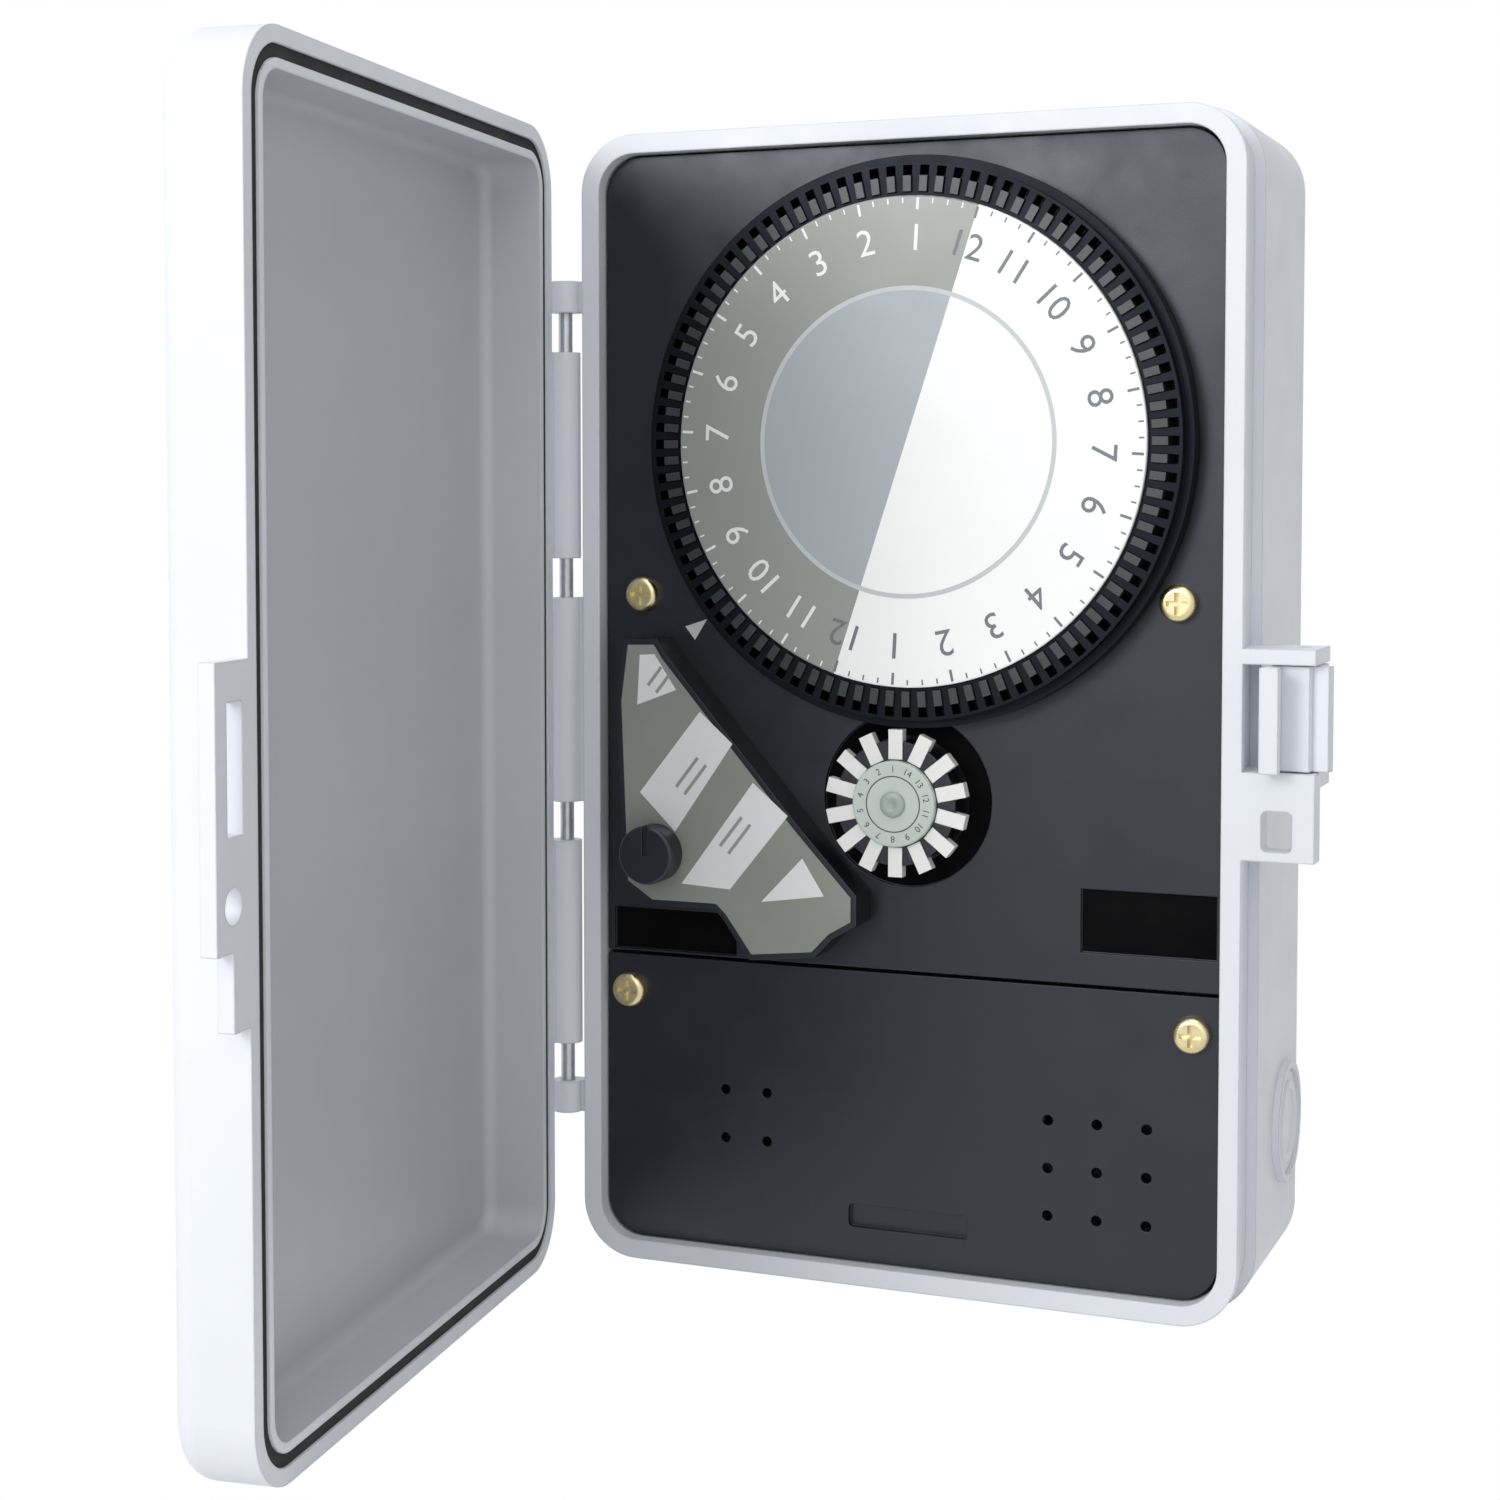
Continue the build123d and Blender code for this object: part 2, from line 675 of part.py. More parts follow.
with BuildPart() as trippers:
    with BuildSketch(front(tripper_back_y)):
        with Locations(*[tripper_place(angle) for angle in fixed_angles]):
            Rectangle(tripper_length, tripper_width)
    extrude(amount=tripper_back_y - tripper_front_y)
trippers.part.label = "trippers"
export_step(trippers.part, "parts/trippers.step")

for number, angle in enumerate(jointed_angles, start=1):
    with BuildPart() as tripper:
        with BuildSketch(front(tripper_back_y)):
            with Locations(tripper_place(angle)):
                Rectangle(tripper_length, tripper_width)
        extrude(amount=tripper_back_y - tripper_front_y)
    tripper.part.label = f"tripper_{number}"
    export_step(tripper.part, f"parts/tripper_{number}.step")

# ---- Idler: reduction gear between the dial and the day wheel ---------------------------
with BuildPart() as idler_gear:
    with BuildSketch(front(idler_gear_y + gear_width)):
        with BuildLine():
            idler_tooth = meshing_tooth(idler_teeth, idler_bearing)
            Polyline(gear_points(idler_teeth, coarse_module, (idler_x, idler_z), idler_tooth), close=True)
        make_face()
    extrude(amount=gear_width)
    with BuildSketch(front(day_gear_y + gear_width + 0.5)):
        with BuildLine():
            Polyline(gear_points(pinion_teeth, coarse_module, (idler_x, idler_z), day_bearing), close=True)
        make_face()
    extrude(amount=day_gear_y + gear_width + 0.5 - idler_gear_y - gear_width)
    with BuildSketch(front(day_gear_y + gear_width + 0.5)):
        with Locations((idler_x, idler_z)):
            Circle(idler_arbor_radius + running_fit)
    extrude(amount=day_gear_y + gear_width + 0.5 - idler_gear_y, mode=Mode.SUBTRACT)
idler_gear.part.label = "idler_gear"
export_step(idler_gear.part, "parts/idler_gear.step")

with BuildPart() as idler_arbor:
    with BuildSketch(front(chassis_y)):
        with Locations((idler_x, idler_z)):
            Circle(idler_arbor_radius)
    extrude(amount=chassis_y - panel_front_y - 1.0)
idler_arbor.part.label = "idler_arbor"
export_step(idler_arbor.part, "parts/idler_arbor.step")

# ---- Day wheel: hub with radial slots, face, arbor, gear and fourteen tabs --------------
day_face_back_y = face_y + day_face_thickness
day_hub_back_y = day_face_back_y + day_hub_height
day_slot_y = day_face_back_y + day_tab_thickness + slide_gap

with BuildPart() as day_wheel:
    with BuildSketch(front(day_hub_back_y)):
        with Locations((day_x, day_z)):
            Circle(day_hub_radius)
    extrude(amount=day_hub_height)
    with BuildSketch(front(panel_front_y + recess_depth - moving_gap)):
        with Locations((day_x, day_z)):
            Circle(2.5 * day_arbor_radius)
    extrude(amount=panel_front_y + recess_depth - moving_gap - day_hub_back_y)
    with BuildSketch(front(day_slot_y)):
        with Locations((day_x, day_z)):
            with PolarLocations(day_tab_inner - slide_gap, day_count, start_angle=90):
                Rectangle(
                    day_tab_outer, day_tab_width + 2 * slide_gap, align=(Align.MIN, Align.CENTER)
                )
    extrude(amount=day_slot_y - day_face_back_y, mode=Mode.SUBTRACT)
    with BuildSketch(front(panel_front_y + recess_depth)):
        with Locations((day_x, day_z)):
            Circle(day_arbor_radius + press_gap)
    extrude(amount=panel_front_y + recess_depth - day_face_back_y, mode=Mode.SUBTRACT)
day_wheel.part.label = "day_wheel"
export_step(day_wheel.part, "parts/day_wheel.step")

with BuildPart() as day_face:
    with BuildSketch(front(day_face_back_y)):
        with Locations((day_x, day_z)):
            Circle(day_face_radius)
    extrude(amount=day_face_thickness)
    fillet(day_face.faces().sort_by(Axis.Y)[0].edges(), 0.4)
day_face.part.label = "day_face"
export_step(day_face.part, "parts/day_face.step")

with BuildPart() as day_arbor:
    with BuildSketch(front(chassis_y + 1.0)):
        with Locations((day_x, day_z)):
            Circle(day_arbor_radius)
    extrude(amount=chassis_y + 1.0 - day_face_back_y - press_gap)
day_arbor.part.label = "day_arbor"
export_step(day_arbor.part, "parts/day_arbor.step")

with BuildPart() as day_gear:
    with BuildSketch(front(day_gear_y + gear_width)):
        with BuildLine():
            day_tooth = meshing_tooth(day_teeth, day_bearing)
            Polyline(gear_points(day_teeth, coarse_module, (day_x, day_z), day_tooth), close=True)
        make_face()
        with Locations((day_x, day_z)):
            Circle(day_arbor_radius + press_gap, mode=Mode.SUBTRACT)
    extrude(amount=gear_width)
day_gear.part.label = "day_gear"
export_step(day_gear.part, "parts/day_gear.step")

for number in range(day_count):
    bearing = 90 + 360 * number / day_count
    with BuildPart() as day_tab:
        with BuildSketch(front(day_slot_y - slide_gap)):
            with Locations((day_x, day_z)):
                with Locations(Location((0, 0), bearing)):
                    with Locations((day_tab_inner, 0)):
                        Rectangle(
                            day_tab_outer - day_tab_inner, day_tab_width, align=(Align.MIN, Align.CENTER)
                        )
        extrude(amount=day_tab_thickness)
    day_tab.part.label = f"day_tab_{number + 1:02d}"
    export_step(day_tab.part, f"parts/day_tab_{number + 1:02d}.step")

# ---- Selector: housing, label plate, knob and cam ---------------------------------------
selector_front_y = panel_front_y - selector_height
label_back_y = selector_front_y + label_thickness
with BuildPart() as selector_housing:
    with BuildSketch(front(panel_front_y)):
        Polygon(*selector_outline, align=None)
    extrude(amount=selector_height - label_thickness)
    with BuildSketch(front(label_back_y)):
        Polygon(*selector_outline, align=None)
    extrude(amount=label_thickness)
    with BuildSketch(front(label_back_y)):
        Polygon(*selector_outline, align=None)
        offset(amount=-label_inset + press_gap)
    extrude(amount=label_thickness, mode=Mode.SUBTRACT)
    with BuildSketch(front(panel_front_y)):
        Polygon(*selector_outline, align=None)
        offset(amount=-selector_wall)
    extrude(amount=selector_height - label_thickness - selector_wall, mode=Mode.SUBTRACT)
    with BuildSketch(front(panel_front_y)):
        with Locations((knob_x, knob_z)):
            Circle(knob_shaft_radius + running_fit)
    extrude(amount=selector_height, mode=Mode.SUBTRACT)
selector_housing.part.label = "selector_housing"
export_step(selector_housing.part, "parts/selector_housing.step")

with BuildPart() as selector_label:
    with BuildSketch(front(label_back_y)):
        Polygon(*selector_outline, align=None)
        offset(amount=-label_inset)
        with Locations((knob_x, knob_z)):
            Circle(knob_shaft_radius + moving_gap, mode=Mode.SUBTRACT)
    extrude(amount=label_thickness)
selector_label.part.label = "selector_label"
export_step(selector_label.part, "parts/selector_label.step")

knob_back_y = selector_front_y - moving_gap
cam_front_y = panel_back_y + 0.5
with BuildPart() as selector_knob:
    with BuildSketch(front(knob_back_y)):
        with Locations((knob_x, knob_z)):
            Circle(knob_radius)
    extrude(amount=knob_height)
    fillet(selector_knob.faces().sort_by(Axis.Y)[0].edges(), 0.8)
    with BuildSketch(front(cam_front_y + cam_thickness)):
        with Locations((knob_x, knob_z)):
            Circle(knob_shaft_radius)
    extrude(amount=cam_front_y + cam_thickness - knob_back_y)
    with BuildSketch(front(knob_back_y - knob_height)):
        with Locations((knob_x, knob_z)):
            Rectangle(1.2, knob_radius, align=(Align.CENTER, Align.MIN))
    extrude(amount=-0.8, mode=Mode.SUBTRACT)
selector_knob.part.label = "selector_knob"
export_step(selector_knob.part, "parts/selector_knob.step")

with BuildPart() as selector_cam:
    with BuildSketch(front(cam_front_y + cam_thickness)):
        with Locations((knob_x, knob_z)):
            Circle(cam_radius)
            Circle(knob_shaft_radius + press_gap, mode=Mode.SUBTRACT)
        with Locations((knob_x, knob_z + cam_radius - 1.5)):
            Rectangle(2 * cam_radius, 3.0, align=(Align.CENTER, Align.MIN), mode=Mode.SUBTRACT)
    extrude(amount=cam_thickness)
selector_cam.part.label = "selector_cam"
export_step(selector_cam.part, "parts/selector_cam.step")

# ---- Switch: body, plunger, trip lever and its pivot pin --------------------------------
switch_back_y = panel_back_y + switch_height
switch_z = 4.0
pivot_y = panel_back_y + 5.0
tail_y = switch_back_y + 1.2 + moving_gap
with BuildPart() as microswitch:
    with BuildSketch(front(switch_back_y)):
        with Locations((lever_x, switch_z)):
            Rectangle(switch_width, switch_length)
    extrude(amount=switch_height)
    with BuildSketch(front(switch_back_y)):
        with Locations((lever_x, plunger_z)):
            Circle(plunger_radius + running_fit)
    extrude(amount=4.0, mode=Mode.SUBTRACT)
microswitch.part.label = "microswitch"
export_step(microswitch.part, "parts/microswitch.step")

with BuildPart() as switch_plunger:
    with BuildSketch(front(switch_back_y + 1.2)):
        with Locations((lever_x, plunger_z)):
            Circle(plunger_radius)
    extrude(amount=3.2)
switch_plunger.part.label = "switch_plunger"
export_step(switch_plunger.part, "parts/switch_plunger.step")

with BuildPart() as trip_lever:
    with BuildSketch(side(lever_x - lever_width / 2)):
        with Locations((pivot_y, lever_pivot_z)):
            Circle(lever_arm)
        with Locations((tail_y, plunger_z - 2)):
            Rectangle(2.0, lever_tip_z - plunger_z + 2 + lever_arm / 2, align=(Align.MIN, Align.MIN))
        with Locations((pivot_y, lever_pivot_z)):
            Rectangle(tail_y + 1 - pivot_y, 2 * lever_arm, align=(Align.MIN, Align.CENTER))
        with Locations((tail_y + 2, lever_tip_z)):
            Rectangle(
                tail_y + 2 - (tripper_back_y + moving_gap), lever_arm, align=(Align.MAX, Align.CENTER)
            )
        with Locations((pivot_y, lever_pivot_z)):
            Circle(lever_pin_radius + running_fit, mode=Mode.SUBTRACT)
    extrude(amount=lever_width)
trip_lever.part.label = "trip_lever"
export_step(trip_lever.part, "parts/trip_lever.step")

with BuildPart() as lever_pin:
    with BuildSketch(side(lever_x - lever_width / 2 - 2.5)):
        with Locations((pivot_y, lever_pivot_z)):
            Circle(lever_pin_radius)
    extrude(amount=lever_width + 5.0)
lever_pin.part.label = "lever_pin"
export_step(lever_pin.part, "parts/lever_pin.step")

# ---- Terminal block on the back wall ----------------------------------------------------
block_back_y = -case_wall
block_front_y = block_back_y - block_depth
block_ear = 9.0
block_screw_x = block_length / 2 + block_ear / 2
with BuildPart() as terminal_block:
    with BuildSketch(front(block_back_y)):
        with Locations((0, block_z)):
            Rectangle(block_length, block_height)
    extrude(amount=block_depth)
    with BuildSketch(front(block_back_y)):
        with Locations((0, block_z)):
            Rectangle(block_length + 2 * block_ear, block_ear)
    extrude(amount=3.0)
    with BuildSketch(front(block_front_y)):
        with Locations((0, block_z)):
            with GridLocations(terminal_pitch, 1, terminal_count, 1):
                Rectangle(terminal_pitch - 2.0, block_height - 4.0)
    extrude(amount=-5.0, mode=Mode.SUBTRACT)
    with BuildSketch(front(block_front_y + 5.0)):
        with Locations((0, block_z)):
            with GridLocations(terminal_pitch, 1, terminal_count, 1):
                Circle(1.5 + press_gap)
        with Locations((block_screw_x, block_z), (-block_screw_x, block_z)):
            Circle(post_pilot + press_gap)
    extrude(amount=-8.0, mode=Mode.SUBTRACT)
    with BuildSketch(front(block_back_y)):
        with Locations((block_screw_x, block_z), (-block_screw_x, block_z)):
            Circle(post_pilot + press_gap)
    extrude(amount=3.0, mode=Mode.SUBTRACT)
terminal_block.part.label = "terminal_block"
export_step(terminal_block.part, "parts/terminal_block.step")

with BuildPart() as terminal_screws:
    with BuildSketch(front(block_front_y + 5.0)):
        with Locations((0, block_z)):
            with GridLocations(terminal_pitch, 1, terminal_count, 1):
                Circle(3.0)
    extrude(amount=2.0)
    with BuildSketch(front(block_front_y + 5.0)):
        with Locations((0, block_z)):
            with GridLocations(terminal_pitch, 1, terminal_count, 1):
                Circle(1.5)
    extrude(amount=-7.0)
terminal_screws.part.label = "terminal_screws"
export_step(terminal_screws.part, "parts/terminal_screws.step")

with BuildPart() as block_screws:
    with BuildSketch(front(block_back_y)):
        with Locations((block_screw_x, block_z), (-block_screw_x, block_z)):
            Circle(post_pilot)
    extrude(amount=3.0)
    with BuildSketch(front(block_back_y - 3.0)):
        with Locations((block_screw_x, block_z), (-block_screw_x, block_z)):
            Circle(2.75)
    extrude(amount=2.0)
block_screws.part.label = "block_screws"
export_step(block_screws.part, "parts/block_screws.step")

# ---- Door: tray with a gasket groove, hinge knuckles and the latch ear ------------------
# The door is drawn on a plane that lies in its rim, turned open about the hinge axis.
swing = math.radians(door_open)
along = Vector(math.cos(swing), -math.sin(swing), 0)
outward = Vector(-math.sin(swing), -math.cos(swing), 0)
hinge_axis = Vector(hinge_x, hinge_y, 0)
rim_origin = hinge_axis - along * hinge_x + outward * (rim_gap + hinge_back)
rim_plane = Plane(origin=rim_origin, x_dir=along, z_dir=outward)


def hinge_level(z):
    """Horizontal plane at height z in the door's directions, with its origin on the hinge axis."""
    return Plane(origin=(hinge_x, hinge_y, z), x_dir=along, z_dir=(0, 0, 1))


door_knuckles = [
    (-1.5 * knuckle_pitch + knuckle_window / 2, -knuckle_pitch / 2 - knuckle_window / 2),
    (knuckle_pitch / 2 + knuckle_window / 2, 1.5 * knuckle_pitch - knuckle_window / 2),
]
door_edge = hinge_out - body_step
door_radius = lip_radius + body_step
groove_side = door_wall + groove_width
rib_side = groove_side + rib_width
tray_depth = door_depth - door_wall

with BuildPart() as door:
    with BuildSketch(rim_plane):
        RectangleRounded(body_width, body_height, door_radius)
    extrude(amount=door_depth)
    fillet(door.faces().sort_by(Axis(rim_origin, outward))[-1].edges(), door_round)
    # Tray inside the rim, and the groove that holds the gasket.
    with BuildSketch(rim_plane):
        RectangleRounded(body_width - 2 * rib_side, body_height - 2 * rib_side, door_radius - rib_side)
    extrude(amount=tray_depth, mode=Mode.SUBTRACT)
    floor_band = Axis(rim_origin, outward)
    floor_edges = door.edges().filter_by_position(floor_band, tray_depth - 0.01, tray_depth + 0.01)
    fillet(floor_edges, tray_round)
    with BuildSketch(rim_plane):
        RectangleRounded(body_width - 2 * door_wall, body_height - 2 * door_wall, door_radius - door_wall)
        RectangleRounded(
            body_width - 2 * groove_side,
            body_height - 2 * groove_side,
            door_radius - groove_side,
            mode=Mode.SUBTRACT,
        )
    extrude(amount=groove_depth, mode=Mode.SUBTRACT)
    # Latch ear with the latch window and the padlock hole.
    with BuildSketch(rim_plane):
        with Locations((wall_x - 1.5, ear_bottom)):
            Rectangle(ear_reach + 1.5, ear_top - ear_bottom, align=(Align.MIN, Align.MIN))
        with Locations((wall_x - 1.5, ear_step_bottom)):
            Rectangle(ear_step_reach + 1.5, ear_bottom - ear_step_bottom, align=(Align.MIN, Align.MIN))
        with Locations((wall_x + window_start, window_bottom)):
            Rectangle(
                window_width, window_top - window_bottom, align=(Align.MIN, Align.MIN), mode=Mode.SUBTRACT
            )
        with Locations((padlock_x, padlock_z)):
            Circle(padlock_radius, mode=Mode.SUBTRACT)
    extrude(amount=ear_thickness)
    for low, high in door_knuckles:
        with BuildSketch(hinge_level(low)):
            Circle(knuckle_radius)
            with Locations((-knuckle_radius / 2, -rim_gap - hinge_back)):
                Rectangle(
                    door_edge + knuckle_radius / 2 + 0.5, 4.5, align=(Align.MIN, Align.MAX)
                )
        extrude(amount=high - low)
        with BuildSketch(hinge_level(low)):
            Circle(hinge_pin_radius + running_fit)
        extrude(amount=high - low, mode=Mode.SUBTRACT)
door.part.label = "door"
export_step(door.part, "parts/door.step")

with BuildPart() as door_gasket:
    gasket_outer = door_wall + press_gap
    gasket_inner = groove_side - press_gap
    with BuildSketch(rim_plane.offset(groove_depth)):
        RectangleRounded(
            body_width - 2 * gasket_outer, body_height - 2 * gasket_outer, door_radius - gasket_outer
        )
        RectangleRounded(
            body_width - 2 * gasket_inner,
            body_height - 2 * gasket_inner,
            door_radius - gasket_inner,
            mode=Mode.SUBTRACT,
        )
    extrude(amount=-gasket_depth)
door_gasket.part.label = "door_gasket"
export_step(door_gasket.part, "parts/door_gasket.step")

# ---- Latch: a hooked lever on a vertical pin, turned off its catch ----------------------
ear_front = rim_gap + ear_thickness
latch_turn = -math.radians(latch_swing)
latch_frame = Plane(
    origin=(latch_x, latch_y, latch_low),
    x_dir=(math.cos(latch_turn), math.sin(latch_turn), 0),
    z_dir=(0, 0, 1),
)
hook_front = -latch_pin_back - ear_front
with BuildPart() as latch:
    with BuildSketch(latch_frame):
        with Locations((-2.4, -8.0)):
            Rectangle(5.9, 12.0, align=(Align.MIN, Align.MIN))
        with Locations((-4.1, hook_front - 2.1)):
            Rectangle(2.0, -3.0 - hook_front + 2.1, align=(Align.MIN, Align.MIN))
        with Locations((-4.1, hook_front - 2.1)):
            Rectangle(3.8, 1.7, align=(Align.MIN, Align.MIN))
        with Locations((3.0, -6.0)):
            Rectangle(3.7, 3.0, align=(Align.MIN, Align.MIN))
        Circle(latch_pin_radius + running_fit, mode=Mode.SUBTRACT)
    extrude(amount=latch_high - latch_low)
latch.part.label = "latch"
export_step(latch.part, "parts/latch.step")

with BuildPart() as latch_pin:
    with BuildSketch(Plane.XY.offset(lug_top - flange_thickness)):
        with Locations((latch_x, latch_y)):
            Circle(latch_pin_radius)
    extrude(amount=flange_top - lug_top + flange_thickness)
latch_pin.part.label = "latch_pin"
export_step(latch_pin.part, "parts/latch_pin.step")
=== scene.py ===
import json
import math

import bmesh
import bpy
from mathutils import Matrix, Vector


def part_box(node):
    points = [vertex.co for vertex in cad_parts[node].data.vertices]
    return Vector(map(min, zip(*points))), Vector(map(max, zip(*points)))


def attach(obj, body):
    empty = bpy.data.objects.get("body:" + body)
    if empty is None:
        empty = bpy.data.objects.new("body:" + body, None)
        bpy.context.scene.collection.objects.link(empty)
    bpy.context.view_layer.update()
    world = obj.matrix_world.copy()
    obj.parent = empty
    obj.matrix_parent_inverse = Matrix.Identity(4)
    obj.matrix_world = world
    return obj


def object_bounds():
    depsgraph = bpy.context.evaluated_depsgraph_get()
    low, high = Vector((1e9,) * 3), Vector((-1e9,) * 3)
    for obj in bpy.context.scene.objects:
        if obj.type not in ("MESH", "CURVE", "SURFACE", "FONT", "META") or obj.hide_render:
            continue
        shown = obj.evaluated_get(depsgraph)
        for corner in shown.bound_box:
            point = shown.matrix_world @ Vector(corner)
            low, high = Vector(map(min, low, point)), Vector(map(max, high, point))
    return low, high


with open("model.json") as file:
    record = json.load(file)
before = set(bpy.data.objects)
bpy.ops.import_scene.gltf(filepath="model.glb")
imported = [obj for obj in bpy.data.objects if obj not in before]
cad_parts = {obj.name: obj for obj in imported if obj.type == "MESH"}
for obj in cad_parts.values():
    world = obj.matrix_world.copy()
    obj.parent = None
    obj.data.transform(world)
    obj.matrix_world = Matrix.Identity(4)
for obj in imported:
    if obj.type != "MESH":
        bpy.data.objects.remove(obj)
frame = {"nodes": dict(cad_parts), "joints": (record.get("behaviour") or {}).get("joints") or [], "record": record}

bl_info = {
    "name": "Irrigation Controller Finish",
    "version": (1, 0, 0),
    "blender": (4, 5, 0),
    "location": "View3D > Sidebar > Controller",
    "description": "Finishes, printed dials and the studio for a 24-hour dial irrigation controller",
    "category": "Object",
}

CAD_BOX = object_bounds()
MM = 0.001
PRINT_LIFT = 0.03 * MM

# The dial: how far the line between its halves leans to the right, and its hours.
DIAL_SPLIT = math.radians(18)
HOURS = 24

# The recesses in the black panels, in millimetres: their depth, the left, right, bottom and top of the dark
# name-plate label and of the painted shadow under the selector housing, and the mean radius and width of the
# painted shade ring on the floor left bare round the day wheel.
RECESS_DEPTH = 0.8
PLATE_AND_SHADE_PATCHES = (
    (38.6, 65.8, -47.5, -34.9),
    (-65.0, -36.8, -53.5, -44.9),
)
WHEEL_RECESS_RADIUS = 15.6
WHEEL_RECESS_WIDTH = 4.8

# The selector label's pale stripes, as (x, z) corners in millimetres from the top one down.
STRIPES = (
    ((-55.6, 0.0), (-55.0, 10.6), (-51.6, 10.8), (-46.6, 3.4)),
    ((-55.0, -18.5), (-46.9, -26.5), (-33.8, -7.5), (-41.2, -1.0)),
    ((-45.4, -37.4), (-34.4, -38.0), (-21.4, -22.0), (-29.2, -15.4)),
    ((-27.4, -40.2), (-18.2, -30.6), (-13.4, -38.2)),
)
# The pairs of lines on the first three stripes: x, z and length in millimetres.
STRIPE_MARKS = ((-50.6, 5.4, 5.0), (-43.2, -14.6, 8.0), (-33.2, -26.6, 8.0))
STRIPE_SLOPE = math.radians(52)

# The studio, in metres: where each lamp stands and its size, and the camera's place and aim.
LAMPS = {
    "key": ((0.25, -1.05, 0.55), 0.9),
    "side": ((-0.95, -0.55, 0.35), 0.8),
    "glare": ((-0.42, -1.15, 0.43), 0.5),
    "top": ((0.1, -0.25, 1.0), 0.7),
}
LAMP_TARGET = (0, -0.06, 0.01)
CAMERA_SPOT = (0.1707, -0.5552, 0.0456)
CAMERA_TILT = math.radians(2.76)
CAMERA_TURN = math.radians(22.35)


# ---- Colour and node helpers ------------------------------------------------------------

def linear(code):
    """Linear red, green, blue and alpha from an sRGB hex value such as "E8EAEE"."""
    channels = [int(code[i:i + 2], 16) / 255 for i in (0, 2, 4)]
    return tuple(c / 12.92 if c <= 0.04045 else ((c + 0.055) / 1.055) ** 2.4 for c in channels) + (1.0,)


def add(tree, kind, inputs=None, **settings):
    """Adds a node with its settings; an input is a value, or a socket to link from."""
    node = tree.nodes.new(kind)
    for name, value in settings.items():
        setattr(node, name, value)
    for key, value in (inputs or {}).items():
        if isinstance(value, bpy.types.NodeSocket):
            tree.links.new(value, node.inputs[key])
        else:
            node.inputs[key].default_value = value
    return node


def start_material(name):
    """An empty node material: (material, tree, Object coordinate socket)."""
    material = bpy.data.materials.new(name)
    material.use_nodes = True
    tree = material.node_tree
    tree.nodes.clear()
    place = add(tree, "ShaderNodeTexCoord").outputs["Object"]
    return material, tree, place


def per_mm(size_mm):
    """Noise scale for a pattern whose features are size_mm across."""
    return 1.0 / (size_mm * MM)


def two_tone(tree, mask, first, second):
    """The first colour where the mask is 0 and the second where it is 1."""
    # A Mix node has sockets for each data type; 6 and 7 are its two colours.
    return add(tree, "ShaderNodeMix", {0: mask, 6: first, 7: second}, data_type="RGBA").outputs[2]


def mottle(tree, place, colour, shift, size_mm):
    """The colour, drifting a little lighter and darker over patches size_mm across."""
    noise = add(tree, "ShaderNodeTexNoise", {"Vector": place, "Scale": per_mm(size_mm), "Detail": 3.0})
    change = add(
        tree, "ShaderNodeMapRange",
        {
            "Value": noise.outputs["Fac"],
            "From Min": 0.3, "From Max": 0.7, "To Min": 1 - shift, "To Max": 1 + shift,
        },
    )
    return add(
        tree, "ShaderNodeHueSaturation", {"Value": change.outputs["Result"], "Color": colour}
    ).outputs["Color"]


def skin(tree, place, grain_mm, depth_mm, edge_mm):
    """A surface normal with fine grain, and sharp edges that catch light as if edge_mm round."""
    grain = add(
        tree, "ShaderNodeTexNoise",
        {"Vector": place, "Scale": per_mm(grain_mm), "Detail": 2.0, "Roughness": 0.6},
    )
    edge = add(tree, "ShaderNodeBevel", {"Radius": edge_mm * MM}, samples=4)
    bump = add(
        tree, "ShaderNodeBump",
        {
            "Height": grain.outputs["Fac"],
            "Strength": 0.6, "Distance": depth_mm * MM, "Normal": edge.outputs["Normal"],
        },
    )
    return bump.outputs["Normal"]


def gloss(tree, place, low, high, size_mm):
    """Roughness that wanders between low and high over patches size_mm across."""
    noise = add(tree, "ShaderNodeTexNoise", {"Vector": place, "Scale": per_mm(size_mm), "Detail": 4.0})
    return add(
        tree, "ShaderNodeMapRange",
        {"Value": noise.outputs["Fac"], "From Min": 0.3, "From Max": 0.7, "To Min": low, "To Max": high},
    ).outputs["Result"]


def close_material(tree, inputs):
    """Joins a Principled shader with these inputs to the output."""
    shader = add(tree, "ShaderNodeBsdfPrincipled", inputs)
    add(tree, "ShaderNodeOutputMaterial", {"Surface": shader.outputs["BSDF"]})


# ---- Finishes ---------------------------------------------------------------------------

